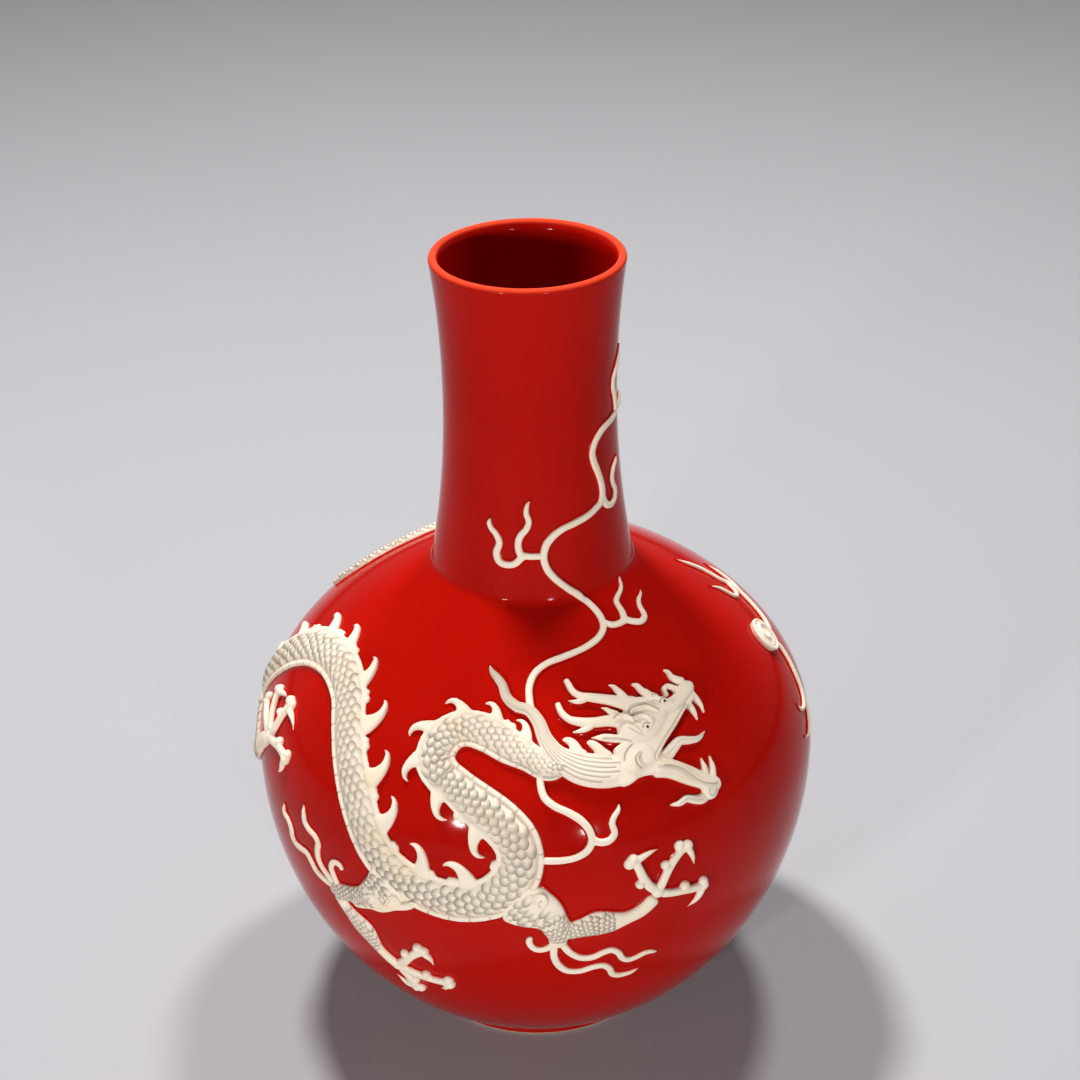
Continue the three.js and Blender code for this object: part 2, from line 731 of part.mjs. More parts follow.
const forelegRightShares = [
  [-2.5, 35.6, 1.1], [1, 33.8, 1.06], [3.3, 31.8, 0.86], [5.6, 30.9, 0.64], [8.3, 31.1, 0.72],
  [11.2, 31.4, 0.92], [14.2, 31.35, 0.76], [17.2, 31.55, 0.47], [20.3, 32.15, 0.45],
  [23, 33.4, 0.46],
];
const elbowRightShares = [[2.2, 32, 0.75], [3.6, 30.3, 0.62], [3.7, 28.7, 0.5]];
const forelegLeftShares = [
  [-28.5, 34.4, 1.15], [-32.5, 32.3, 0.95], [-36, 31.4, 0.74], [-40, 30.8, 0.68],
  [-42.8, 29.8, 0.66], [-42, 28.4, 0.6], [-39.8, 27.3, 0.82], [-37.9, 26.2, 0.98],
  [-36.6, 25, 0.7], [-35.2, 23.8, 0.44], [-33, 22.5, 0.45],
];
const elbowLeftShares = [[-40, 30.6, 0.7], [-43.4, 30.3, 0.84], [-45.4, 30.6, 0.6]];
const hindLegLeftShares = [
  [-98, 38.5, 1.2], [-94, 36, 1.1], [-88.5, 34.8, 0.9], [-83.5, 36, 0.76], [-79, 38, 0.7],
  [-75.5, 39.6, 0.56], [-72.5, 40.8, 0.45],
];
const hindLegRightShares = [
  [-115, 35.5, 1.15], [-119.5, 31.8, 1], [-125, 29.6, 0.8], [-131, 28.8, 0.86],
  [-137, 28.9, 0.72], [-142, 29.6, 0.5], [-146, 30.6, 0.46],
];

// A paw: its palm, and for each toe its route, claw, knuckle and pads.
const pawRightShares = {
  palmShare: [23.4, 33.95],
  toes: [
    {
      routeShares: [
        [23, 34.2, 1], [21.5, 35, 1], [20.2, 36.2, 0.95], [19.4, 37.3, 0.9], [18.6, 38.2, 0.9],
      ],
      clawShares: [[18.8, 38.2, 0.8], [21.5, 38.65, 0.48], [23.8, 38.86, 0.08]],
      padShares: [[18, 38.6], [16.8, 37.8], [19.4, 35.4]],
    },
    {
      routeShares: [
        [23.8, 34.4, 1], [24.9, 35.7, 0.9], [26.3, 36.9, 0.85], [28.3, 37.9, 0.85],
        [29.6, 38.2, 0.9],
      ],
      clawShares: [[29.8, 38.1, 0.8], [30.9, 36.9, 0.5], [31.4, 35.7, 0.08]],
      padShares: [[28, 38.7], [30.7, 38.5], [24.6, 37]],
    },
    {
      routeShares: [
        [24, 33.7, 1], [26.3, 33.35, 0.85], [29, 33.1, 0.85], [31.5, 32.85, 0.85],
        [33.5, 32.8, 0.9],
      ],
      clawShares: [[33.6, 32.6, 0.8], [32.2, 31.2, 0.5], [30.2, 30.45, 0.08]],
      padShares: [[33.7, 33.5], [34.9, 32.7], [29.4, 33.8]],
    },
  ],
};
const pawLeftShares = {
  palmShare: [-31.8, 22],
  toes: [
    {
      routeShares: [
        [-31.3, 22.3, 1.1], [-29.3, 23.3, 1], [-27.3, 24.6, 0.95], [-25.3, 25.6, 1], [-24.2, 26, 1],
      ],
      clawShares: [[-24, 25.9, 0.8], [-22.8, 25, 0.5], [-22.5, 23.7, 0.08]],
      padShares: [[-25.2, 26.4], [-22.9, 26.3], [-28.5, 24.6]],
    },
    {
      routeShares: [
        [-31, 21.9, 1], [-28.5, 21.6, 1], [-25.5, 21.3, 0.9], [-22.5, 21.2, 0.85],
        [-20.4, 21.3, 0.9],
      ],
      clawShares: [[-20.2, 21.1, 0.8], [-21.2, 19.9, 0.5], [-22.7, 19.3, 0.08]],
      padShares: [[-19.8, 21.7], [-19.1, 20.8], [-24.9, 22]],
    },
    {
      routeShares: [[-31.2, 21.6, 1], [-30.3, 20.6, 0.95], [-29.7, 19.5, 0.9], [-29.2, 18.4, 0.9]],
      clawShares: [[-29.4, 18.4, 0.8], [-32.2, 18.5, 0.55], [-34.4, 19.3, 0.08]],
      padShares: [[-27.9, 18.3], [-29.6, 17.5], [-29.1, 19.9]],
    },
  ],
};
const pawHindShares = {
  palmShare: [-72, 41],
  toes: [
    {
      routeShares: [[-71.8, 41.3, 1], [-71, 42.8, 0.9], [-70.4, 44.2, 0.9], [-69.6, 45.5, 0.95]],
      clawShares: [[-69.4, 45.3, 0.8], [-66, 44.9, 0.5], [-63.6, 44.05, 0.08]],
      padShares: [[-70.5, 45.9], [-68.6, 46], [-71.9, 44.1]],
    },
    {
      routeShares: [[-71.5, 40.9, 1], [-69, 41.2, 0.9], [-66, 41.4, 0.85], [-63, 41.3, 0.9]],
      clawShares: [[-62.8, 41.2, 0.8], [-63.2, 39.8, 0.5], [-64.9, 38.9, 0.08]],
      padShares: [[-62.4, 41.6], [-61.5, 40.8], [-66.9, 41.9]],
    },
    {
      routeShares: [[-73, 41.3, 1], [-75, 42.4, 0.9], [-76.8, 43.5, 0.9], [-78.2, 44.7, 0.9]],
      clawShares: [[-78, 44.8, 0.8], [-75.2, 45.4, 0.5], [-73.2, 45.6, 0.08]],
      padShares: [[-79.2, 44.9], [-78.2, 45.5]],
    },
    {
      routeShares: [[-73, 40.9, 1], [-77, 41.3, 0.9], [-80, 41.8, 0.85], [-82.3, 42.4, 0.8]],
      clawShares: [[-82.3, 42.3, 0.8], [-84.4, 41.6, 0.5], [-86.2, 40.6, 0.08]],
      padShares: [[-82.6, 42.8]],
    },
  ],
};

// The same rows laid elsewhere on the wall, mirrored or not about the place they leave.
function relaid(rows, [fromTurn, fromClimb], [toTurn, toClimb], mirror) {
  const hand = mirror ? -1 : 1;
  return rows.map(([turn, climb, ...rest]) => [
    toTurn + hand * (turn - fromTurn),
    toClimb + climb - fromClimb,
    ...rest,
  ]);
}

function relaidPaw(paw, place, mirror) {
  const lay = (rows) => relaid(rows, paw.palmShare, place, mirror);
  return {
    palmShare: place,
    toes: paw.toes.map(({ routeShares, clawShares, padShares }) => ({
      routeShares: lay(routeShares),
      clawShares: lay(clawShares),
      padShares: lay(padShares),
    })),
  };
}

const palmSizeShare = 1.5;
// How deep a pad is pressed into its toe, as a share of the pad's radius.
const padSeatShare = 0.8;

// The seat of a pad: against its toe, on the side that its place in the table names.
function besideToe(place, at) {
  const { gap, share, away, width } = nearestOn(at, place);
  const here = at(share);
  const heading = wallDistance(at(share - nudgeShare), at(share + nudgeShare));
  const sideways = Math.abs(heading[0] * away[1] - heading[1] * away[0]);
  const sideShare = sideways / (gap * Math.hypot(...heading));
  const reach = width * toeHalfWidth * sideShare + ballRadius * (1 - padSeatShare);
  return shifted(here.turn, here.climb, (-away[0] / gap) * reach, (-away[1] / gap) * reach);
}

function pawParts({ palmShare, toes }) {
  const toe = (route) => strip({ route, halfWidth: toeHalfWidth, rise: toeRise, step: limbStep });
  return [
    ball(palmShare, palmSizeShare),
    ...toes.flatMap(({ routeShares, clawShares, padShares }) => [
      toe(routeShares),
      toe(clawShares),
      ...padShares.map((place) => ball(besideToe(place, routeCurve(routeShares)))),
    ]),
  ];
}

const legPart = (route) =>
  strip({
    route,
    halfWidth: legHalfWidth,
    rise: legRise,
    section: roundSectionShares,
    step: bodyStep,
  });

const backPawPlaceShare = [-147.5, 31];

function limbSprigs() {
  const backPaw = relaidPaw(pawRightShares, backPawPlaceShare, true);
  const paws = {
    forepaw_right: pawRightShares,
    forepaw_left: pawLeftShares,
    hind_paw_left: pawHindShares,
    hind_paw_right: backPaw,
  };
  const legs = [
    {
      name: "foreleg_right",
      routes: [forelegRightShares, elbowRightShares],
      under: ["dragon_body_chest", "forepaw_right"],
    },
    {
      name: "foreleg_left",
      routes: [forelegLeftShares, elbowLeftShares],
      under: ["dragon_body_chest", "dragon_body_shoulder", "forepaw_left"],
    },
    {
      name: "hind_leg_left",
      routes: [hindLegLeftShares],
      under: ["dragon_body_flank", "hind_paw_left"],
    },
    {
      name: "hind_leg_right",
      routes: [hindLegRightShares],
      under: ["dragon_body_flank", "dragon_body_rear", "hind_paw_right"],
    },
  ];
  return [
    ...Object.entries(paws).map(([name, paw]) => ({ name, parts: pawParts(paw) })),
    ...legs.map(({ name, routes, under }) => ({ name, parts: routes.map(legPart), under })),
  ];
}

// Flames and curls at the elbows

const rightFlameUpperShares = [
  [3.9, 29.6, 1], [6.2, 27.6, 1], [8.4, 26.7, 1], [10.8, 26.6, 1], [12.8, 27.1, 1],
  [14.5, 27.25, 1], [16, 26.6, 0.95], [17, 25.6, 0.9], [18.4, 25.1, 0.9], [20.2, 25.25, 0.85],
  [22, 25.6, 0.75], [23.5, 25.5, 0.6], [25.3, 24.9, 0.1],
];
const rightFlameLowerShares = [
  [3, 29.2, 1], [2.95, 27.2, 1], [4, 25.7, 1], [5.8, 24.75, 1], [8.4, 24.55, 1],
  [11, 24.95, 0.95], [13, 24.95, 0.95], [14.5, 24.2, 0.95], [15.4, 23.1, 0.9],
  [17, 22.65, 0.85], [19.2, 22.7, 0.65], [22, 23.1, 0.1],
];
const rightCurlShares = [
  [3, 29.1, 0.9], [1.3, 28.45, 0.9], [-0.3, 28.35, 0.9], [-1.5, 28.9, 0.9],
  [-1.9, 29.7, 0.85], [-1.3, 30.2, 0.5],
];
const leftFlameUpperShares = [
  [-44, 30.6, 1], [-46.3, 31.7, 1], [-47.6, 32.3, 1], [-48.5, 33.2, 1], [-48.4, 34.4, 1],
  [-48, 35.2, 0.95], [-48.9, 35.8, 0.95], [-51, 36.15, 0.95], [-52.3, 36.7, 0.9],
  [-52.6, 37.5, 0.75], [-53, 38.5, 0.2],
];
const leftFlameLowerShares = [
  [-45.7, 30.5, 1], [-47.5, 30.65, 1], [-50, 31.1, 1], [-51.3, 32, 1], [-52.4, 32.65, 1],
  [-54.5, 32.6, 1], [-56.8, 32.6, 1], [-57.9, 33.2, 1], [-58, 34.2, 1], [-58.9, 34.9, 0.95],
  [-60.5, 35.3, 0.9], [-60.6, 36.5, 0.25],
];
const leftCurlShares = [
  [-43.3, 30.9, 1.1], [-44.2, 32.2, 1], [-44.6, 33.1, 0.9], [-43.5, 34, 0.85],
  [-41.9, 34.05, 0.85], [-41.2, 33.5, 0.5],
];
const backFlamePlaceShare = [-127.5, 27.6];

function flameSprigs() {
  // The flame of the hind leg at the back is the right foreleg's upper flame, mirrored.
  const model = rightFlameUpperShares;
  const backFlame = relaid(model, model[0], backFlamePlaceShare, true);
  const flames = {
    foreleg_right: {
      flame_upper: rightFlameUpperShares,
      flame_lower: rightFlameLowerShares,
      curl: rightCurlShares,
    },
    foreleg_left: {
      flame_upper: leftFlameUpperShares,
      flame_lower: leftFlameLowerShares,
      curl: leftCurlShares,
    },
    hind_leg_right: { flame: backFlame },
  };
  return Object.entries(flames).flatMap(([leg, routes]) => {
    // Where the flames of an elbow share a root, the later one gives way to the earlier ones.
    const names = Object.keys(routes).map((part) => `${leg}_${part}`);
    return Object.values(routes).map((route, i) => ({
      name: names[i],
      parts: [ribbon(route)],
      under: [leg, ...names.slice(0, i)],
    }));
  });
}

// Cloud ribbons

const ribbonStemShares = [
  [74, 84.1, 0.9], [70.5, 83.85, 0.95], [63.6, 83.6, 0.95], [56.8, 83.45, 0.95], [50, 83, 1],
  [44.8, 82.2, 1], [42.4, 81.2, 1.05], [43.6, 80.2, 1.05], [46.5, 79, 1], [49.3, 77.5, 1],
  [49.8, 76.4, 1], [47.8, 75.6, 1], [44, 75.25, 1], [36.7, 74.75, 1], [26.7, 74.35, 1],
  [18, 73.95, 1], [11.5, 73.2, 1], [7.8, 72.3, 1], [6.5, 71.2, 1], [8, 70.05, 1],
  [12.7, 68.8, 1], [20, 67.5, 1], [26.3, 66.4, 1], [29.8, 64.9, 0.95], [30.8, 63.4, 0.95],
  [29.5, 62.2, 0.95], [26, 61.3, 0.95], [20, 60.55, 0.9], [10, 59.75, 0.9], [4, 59.15, 0.9],
  [0, 58.1, 0.95], [-1.6, 56.7, 1], [-1.4, 55, 1], [-1, 54, 1],
];
const neckTendrilShares = [
  [
    [71.9, 84.1, 1], [71.2, 84.9, 0.95], [69.4, 86, 0.9], [66.6, 87, 0.85], [66.8, 87.8, 0.8],
    [71, 88.7, 0.65], [77, 89.6, 0.45], [83, 90.6, 0.12],
  ],
];
const rightTendrilShares = [
  [
    [49.4, 76.2, 1], [51.6, 75.2, 1], [55, 74.75, 1], [59.3, 74.7, 0.95], [63, 75.2, 0.9],
    [64, 75.9, 0.85], [62, 76.6, 0.8], [61, 77.3, 0.8], [63.5, 78.2, 0.7], [68, 78.8, 0.5],
    [73, 79.1, 0.12],
  ],
];
const leftForkShares = [
  [
    [7, 71.3, 1], [3, 71.35, 0.95], [-1, 71.35, 0.95], [-5.3, 71.35, 1], [-10, 70.55, 1],
    [-15.3, 70.35, 1], [-20, 70.7, 1], [-21.4, 71.5, 0.95], [-19.7, 72.6, 0.9],
    [-22, 73.5, 0.85], [-25.5, 74.1, 0.7], [-26.6, 74.6, 0.6], [-25.6, 75.2, 0.12],
  ],
  [
    [-4, 71.3, 1], [-7.6, 71.8, 1], [-8.3, 72.8, 0.95], [-6.7, 73.6, 0.95], [-3.3, 74.3, 0.9],
    [-1.8, 75.1, 0.85], [-3.4, 76, 0.75], [-2.6, 76.9, 0.5], [-0.2, 77.35, 0.1],
  ],
];
const rightForkShares = [
  [
    [30, 62.9, 0.9], [33, 62.15, 0.9], [36.7, 61.95, 0.9], [40.4, 62, 1], [43, 61.5, 0.95],
    [46, 61.15, 0.9], [49.4, 61.5, 0.85], [51, 62.5, 0.75], [53.3, 63.15, 0.65],
    [58, 63.6, 0.4], [62.4, 64.2, 0.08],
  ],
  [
    [39.6, 62, 1], [41.6, 63, 0.9], [42.7, 64.2, 0.8], [46, 64.75, 0.7], [50.7, 65.2, 0.6],
    [54.6, 65.8, 0.5], [56.3, 66.3, 0.4], [55.6, 66.8, 0.2],
  ],
];
const ribbonUnderChinShares = [
  [
    [1, 48.4, 1], [0.9, 46.9, 1], [1.6, 45.6, 1], [3.6, 44.7, 1], [6.3, 44, 1], [8.8, 43.1, 1],
    [10.3, 42, 1], [10.6, 41, 1], [9.6, 40.1, 1], [7.4, 39.5, 0.95], [4.5, 39.3, 0.95],
    [0, 39.4, 0.95],
  ],
  [
    [10.3, 41.4, 1], [11.8, 40.8, 1], [13.8, 40.75, 1], [15.2, 41.4, 0.95], [14.9, 42.4, 0.9],
    [15.6, 43.1, 0.75], [16.5, 43.6, 0.6], [16.9, 44.3, 0.15],
  ],
];
const ribbonBackShares = [
  [
    [75.2, 84.2, 0.9], [90, 84.4, 0.95], [108, 83.4, 1], [126, 81, 1], [144, 78.6, 1],
    [164, 77.6, 1], [184, 78.4, 1], [202, 80.6, 1], [218, 81.6, 0.9], [232, 80.4, 0.6],
    [242, 78.6, 0.1],
  ],
  [
    [140, 79.1, 1], [134, 77, 1], [133, 74.6, 1], [141, 72.6, 1], [152, 71.4, 1],
    [162, 69.8, 0.95], [168, 67.6, 0.8], [165, 65.8, 0.5], [158, 65, 0.1],
  ],
  [
    [175, 77.9, 1], [182, 76.2, 1], [186, 74.2, 0.95], [194, 72.8, 0.9], [203, 73.4, 0.7],
    [207, 75, 0.4], [205, 76.4, 0.1],
  ],
];
const ribbonLowBackShares = [
  [
    [163, 39, 1], [161, 35.6, 1], [156, 32.8, 1], [148, 31, 1], [139, 30.4, 1], [131, 31.8, 1],
    [124, 33.6, 0.9], [117, 32.8, 0.7], [112, 31, 0.1],
  ],
  [
    [145, 30.7, 1], [140, 28.2, 1], [133, 26.4, 1], [125, 26.4, 0.9], [118, 27.6, 0.7],
    [112.5, 26.6, 0.1],
  ],
];

function ribbonSprigs() {
  const forks = {
    ribbon_neck_tendril: neckTendrilShares,
    ribbon_right_tendril: rightTendrilShares,
    ribbon_left_fork: leftForkShares,
    ribbon_right_fork: rightForkShares,
  };
  return [
    { name: "ribbon_stem", parts: [ribbon(ribbonStemShares)], under: ["dragon_mane"] },
    ...Object.entries(forks).map(([name, routes]) => ({
      name,
      parts: routes.map(ribbon),
      under: ["ribbon_stem"],
    })),
    {
      name: "ribbon_under_chin",
      parts: ribbonUnderChinShares.map(ribbon),
      under: ["dragon_body_fore", "dragon_body_chest", "dragon_mane"],
    },
    {
      name: "ribbon_back",
      parts: ribbonBackShares.map(ribbon),
      under: ["ribbon_stem", "ribbon_neck_tendril"],
    },
    {
      name: "ribbon_low_back",
      parts: ribbonLowBackShares.map(ribbon),
      under: ["dragon_body_rear", "dragon_tail"],
    },
  ];
}

// Flaming pearl

const pearlPlaceShare = [85, 49.6];
const pearlFlameUpperShares = [
  [
    [86, 49, 1], [90, 48.6, 1], [93.5, 48.9, 1], [97.5, 50.3, 1], [101, 52, 1],
    [102, 53.4, 0.95], [101, 55, 0.85], [101.6, 57.4, 0.75], [100.7, 59.3, 0.55],
    [100.4, 61, 0.12],
  ],
  [[100.6, 51.8, 0.95], [104.5, 52.6, 0.8], [107.5, 54, 0.6], [110.6, 55.6, 0.12]],
  [[101.6, 53.9, 0.8], [97.8, 52.9, 0.7], [94.6, 53.6, 0.65], [93.6, 55.6, 0.5], [91, 57.3, 0.1]],
];
const pearlFlameLowerShares = [
  [
    [86.5, 48.8, 1], [87.6, 47, 1], [86.4, 45.4, 1], [84.6, 43.8, 1], [82.6, 42.2, 0.9],
    [79.5, 41.4, 0.75], [77, 41.8, 0.5], [76, 42.8, 0.12],
  ],
  [[83.6, 43, 0.9], [82.6, 41, 0.8], [80, 39.4, 0.7], [76.8, 38.7, 0.5], [74, 39.3, 0.12]],
];

// The pearl's low dome, as shares of its radius and rise from its edge inwards.
const pearlDomeShares = [[1, 0], [0.96, 0.56], [0.6, 0.9]];

// The comma curl on the pearl, as shares of its radius round and up, with its width share.
const pearlSwirlShares = [
  [-0.1, -0.62, 0.5], [0.5, -0.4, 0.9], [0.62, 0.16, 1], [0.16, 0.5, 1], [-0.3, 0.26, 1],
  [-0.22, -0.14, 0.8],
];

function pearlSprigs() {
  const swirl = pearlSwirlShares.map(([round, up, width]) => [
    ...shifted(...pearlPlaceShare, round * pearlRadius, up * pearlRadius),
    width,
  ]);
  return [
    {
      name: "flaming_pearl",
      parts: [
        knob({
          place: pearlPlaceShare,
          radius: pearlRadius,
          rise: pearlRise,
          sides: 16,
          domeShares: pearlDomeShares,
        }),
        strip({
          route: swirl,
          halfWidth: pearlSwirlHalfWidth,
          rise: pearlSwirlRise,
          step: limbStep,
        }),
      ],
    },
    {
      name: "pearl_flame_upper",
      parts: pearlFlameUpperShares.map(ribbon),
      under: ["flaming_pearl"],
    },
    {
      name: "pearl_flame_lower",
      parts: pearlFlameLowerShares.map(ribbon),
      under: ["flaming_pearl", "pearl_flame_upper"],
    },
  ];
}

// Assembly

const redGlaze = new THREE.MeshStandardMaterial({ color: 0xa80a04, roughness: 0.12, metalness: 0 });
const whiteBiscuit = new THREE.MeshStandardMaterial({ color: 0xe8d8c4, roughness: 0.75, metalness: 0 });

function geometryOf(solid) {
  const { vertProperties, triVerts } = solid.getMesh();
  const geometry = new THREE.BufferGeometry();
  geometry.setAttribute("position", new THREE.BufferAttribute(vertProperties, 3));
  geometry.setIndex(new THREE.BufferAttribute(triVerts, 1));
  geometry.computeVertexNormals();
  return geometry;
}

function named(name, geometry, material) {
  const mesh = new THREE.Mesh(geometry, material);
  mesh.name = name;
  return mesh;
}

const vase = new THREE.Group();
vase.add(
  named("lower_belly", lowerBellyGeometry(), redGlaze),
  named("upper_belly", upperBellyGeometry(), redGlaze),
  named("neck", neckGeometry(), redGlaze),
);

const bodies = bodySprigs().map((sprig) =>
  sprig.name === "dragon_body_fore" ? { ...sprig, under: ["dragon_mane"] } : sprig,
);
const sprigs = [
  ...bodies,
  ...headSprigs(),
  ...limbSprigs(),
  ...flameSprigs(),
  ...ribbonSprigs(),
  ...pearlSprigs(),
];
const byName = new Map(sprigs.map((sprig) => [sprig.name, sprig]));
for (const { name, parts, under = [], holes = [] } of sprigs) {
  let solid = parts.map((part) => part.solid()).reduce((all, each) => all.add(each));
  for (const upper of under) {
    for (const part of byName.get(upper).parts) solid = solid.subtract(part.clear());
  }
  for (const hole of holes) solid = solid.subtract(hole);
  vase.add(named(name, geometryOf(solid), whiteBiscuit));
}

export default vase;
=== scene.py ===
# %% [markdown]
# # A tianqiuping vase with a dragon laid on its wall
#
# The vase is thrown porcelain under a gloss coral-red glaze. A dragon, a flaming pearl and cloud
# ribbons of white clay are laid on it and left unglazed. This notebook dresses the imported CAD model:
# it spins finer walls, lays finer sprigs in the same places, glazes them, and lights them.

import json
import math

import bmesh
import bpy
import numpy as np
from mathutils import Matrix, Vector
from mathutils.bvhtree import BVHTree

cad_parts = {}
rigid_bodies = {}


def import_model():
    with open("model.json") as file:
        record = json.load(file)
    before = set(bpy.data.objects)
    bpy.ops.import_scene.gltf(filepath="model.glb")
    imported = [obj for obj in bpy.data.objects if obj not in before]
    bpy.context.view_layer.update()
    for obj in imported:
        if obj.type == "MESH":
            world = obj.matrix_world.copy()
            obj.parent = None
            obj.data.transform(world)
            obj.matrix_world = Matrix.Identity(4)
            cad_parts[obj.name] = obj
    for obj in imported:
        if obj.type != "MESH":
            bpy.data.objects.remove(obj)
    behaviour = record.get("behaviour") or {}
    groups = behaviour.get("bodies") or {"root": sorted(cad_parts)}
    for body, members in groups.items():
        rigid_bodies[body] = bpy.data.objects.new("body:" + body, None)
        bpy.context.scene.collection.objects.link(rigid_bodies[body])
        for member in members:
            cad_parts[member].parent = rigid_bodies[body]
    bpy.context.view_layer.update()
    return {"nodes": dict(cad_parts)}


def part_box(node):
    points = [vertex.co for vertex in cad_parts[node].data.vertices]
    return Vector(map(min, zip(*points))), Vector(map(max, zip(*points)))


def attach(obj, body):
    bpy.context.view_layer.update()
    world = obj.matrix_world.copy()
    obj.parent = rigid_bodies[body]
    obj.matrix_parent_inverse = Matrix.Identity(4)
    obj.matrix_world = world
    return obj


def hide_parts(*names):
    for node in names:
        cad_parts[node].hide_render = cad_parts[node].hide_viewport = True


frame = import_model()
nodes_left = set(frame["nodes"])
print("CAD nodes:", len(nodes_left))

# %% [markdown]
# ## The wall's outline
#
# Everything on this vase follows one outline: an elliptic belly, a neck that narrows to a waist and
# flares to the mouth, and a soft fillet between them. If a place is given as a turn round the axis,
# a climb along the outline and a lift off it, any flat pattern can be bent over the wall. The
# outline is worked out here once, and every later piece asks it where to go.

# %% Outline sizes, in millimetres
low_box, neck_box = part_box("lower_belly"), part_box("neck")
MM = 0.001
VASE_HEIGHT = neck_box[1][2] / MM
BELLY_RADIUS = low_box[1][0] / MM
BELLY_HEIGHT = low_box[1][2] / MM
NECK_SEAM_HEIGHT = neck_box[0][2] / MM
MOUTH_RADIUS = 62.7
WAIST_RADIUS = 55.5
WAIST_DEPTH = 93.5
NECK_SWEEP_RADIUS = 607.0
BELLY_CROWN = 138.0
SHOULDER_BLEND = 69.5
FOOT_RADIUS = 86.0
FOOT_HEIGHT = 9.0
BELLY_WALL = 7.5
RIM_WALL = 5.8
BASE_THICKNESS = 10.0
FOOT_RING_WIDTH = 9.0
FOOT_RECESS = 6.0
FOOT_CHAMFER = 1.5
print(f"height {VASE_HEIGHT:.1f}, belly radius {BELLY_RADIUS:.1f} mm")

# %% Outline by height
WAIST_HEIGHT = VASE_HEIGHT - WAIST_DEPTH
BELLY_DROP = (BELLY_HEIGHT - FOOT_HEIGHT) / math.sqrt(1 - (FOOT_RADIUS / BELLY_RADIUS) ** 2)


def outer_radius(height):
    """The wall's outer radius at some heights, in millimetres."""
    z = np.asarray(height, float)
    half_axis = np.where(z > BELLY_HEIGHT, BELLY_CROWN, BELLY_DROP)
    belly = BELLY_RADIUS * np.sqrt(np.clip(1 - ((z - BELLY_HEIGHT) / half_axis) ** 2, 0, 1))
    below_waist = WAIST_RADIUS + (WAIST_HEIGHT - z) ** 2 / (2 * NECK_SWEEP_RADIUS)
    above_waist = WAIST_RADIUS + (MOUTH_RADIUS - WAIST_RADIUS) * ((z - WAIST_HEIGHT) / WAIST_DEPTH) ** 2
    neck = np.where(z < WAIST_HEIGHT, below_waist, above_waist)
    apart = np.abs(belly - neck)
    fillet = np.where(apart < SHOULDER_BLEND, (SHOULDER_BLEND - apart) ** 2 / (4 * SHOULDER_BLEND), 0)
    return np.where(z > BELLY_HEIGHT, np.maximum(belly, neck) + fillet, belly)


OUTLINE_Z = np.linspace(FOOT_HEIGHT, VASE_HEIGHT, 6001)
OUTLINE_R = outer_radius(OUTLINE_Z)
OUTLINE_RUN = np.concatenate([[0], np.cumsum(np.hypot(np.diff(OUTLINE_Z), np.diff(OUTLINE_R)))])
OUTLINE_LENGTH = OUTLINE_RUN[-1]
OUTLINE_OUT = np.gradient(OUTLINE_Z, OUTLINE_RUN)
OUTLINE_UP = -np.gradient(OUTLINE_R, OUTLINE_RUN)
CLIMB_MM = OUTLINE_LENGTH / 100
print(f"outline {OUTLINE_LENGTH:.1f} mm, one percent of climb {CLIMB_MM:.2f} mm")

# %% Places over the wall


def on_outline(run, what):
    """The wall's radius, its height, or the way off it, at some runs along the outline."""
    return np.interp(run, OUTLINE_RUN, what)


def over_wall(turn, climb, lift):
    """Points over the wall in metres: turn in degrees, climb in percent, lift in millimetres."""
    run = np.asarray(climb, float) * CLIMB_MM
    radius = on_outline(run, OUTLINE_R) + lift * on_outline(run, OUTLINE_OUT)
    height = on_outline(run, OUTLINE_Z) + lift * on_outline(run, OUTLINE_UP)
    angle = np.radians(turn)
    return np.stack([radius * np.sin(angle), -radius * np.cos(angle), height], -1) * MM


def girth_at(climb):
    """The wall's radius at some climbs, in millimetres."""
    return on_outline(np.asarray(climb, float) * CLIMB_MM, OUTLINE_R)


def shifted(turn, climb, round_mm, up_mm):
    """A place moved by real distances round the wall and up it."""
    return turn + np.degrees(round_mm / girth_at(climb)), climb + up_mm / CLIMB_MM


def place_of(points):
    """The inverse: turn, climb and lift of points in metres, taken near the wall."""
    x, y, z = (points / MM).T
    radius = np.hypot(x, y)
    height = z.copy()
    # Each round slides the foot of the perpendicular along the outline, until it stays put.
    for _ in range(6):
        run = np.interp(height, OUTLINE_Z, OUTLINE_RUN)
        out = on_outline(run, OUTLINE_OUT)
        up = on_outline(run, OUTLINE_UP)
        wall = on_outline(run, OUTLINE_R)
        ahead = (radius - wall) * -up + (z - height) * out
        height = np.clip(height + ahead * out, FOOT_HEIGHT, VASE_HEIGHT)
    run = np.interp(height, OUTLINE_Z, OUTLINE_RUN)
    out, up = (on_outline(run, way) for way in (OUTLINE_OUT, OUTLINE_UP))
    lift = (radius - on_outline(run, OUTLINE_R)) * out + (z - height) * up
    return np.degrees(np.arctan2(x, -y)), run / CLIMB_MM, lift


back = place_of(over_wall(np.array([20.0]), np.array([45.0]), np.array([4.0])))
print("there and back:", [round(float(v[0]), 3) for v in back])

# %% [markdown]
# ## Finishes
#
# Two finishes cover the vase. The glaze is a glossy deep red, a little uneven where it ran, and paler
# at the rim, where it is thin. It mirrors little, as under a polarising filter. The biscuit is bare
# fired clay, rough and ivory, with grey painted shade in its grooves and under its edges. Both are
# procedural. The glaze reads object coordinates, and the painted shade reads an attribute that each
# sprig carries, painted groove by groove as the sprig is made.

# %% A small helper for shader nodes


def new_finish(name, **sockets):
    """A material with a Principled shader whose plain sockets are set by name."""
    material = bpy.data.materials.new(name)
    material.use_nodes = True
    shader = material.node_tree.nodes["Principled BSDF"]
    for socket, value in sockets.items():
        shader.inputs[socket.replace("_", " ")].default_value = value
    return material, material.node_tree, shader


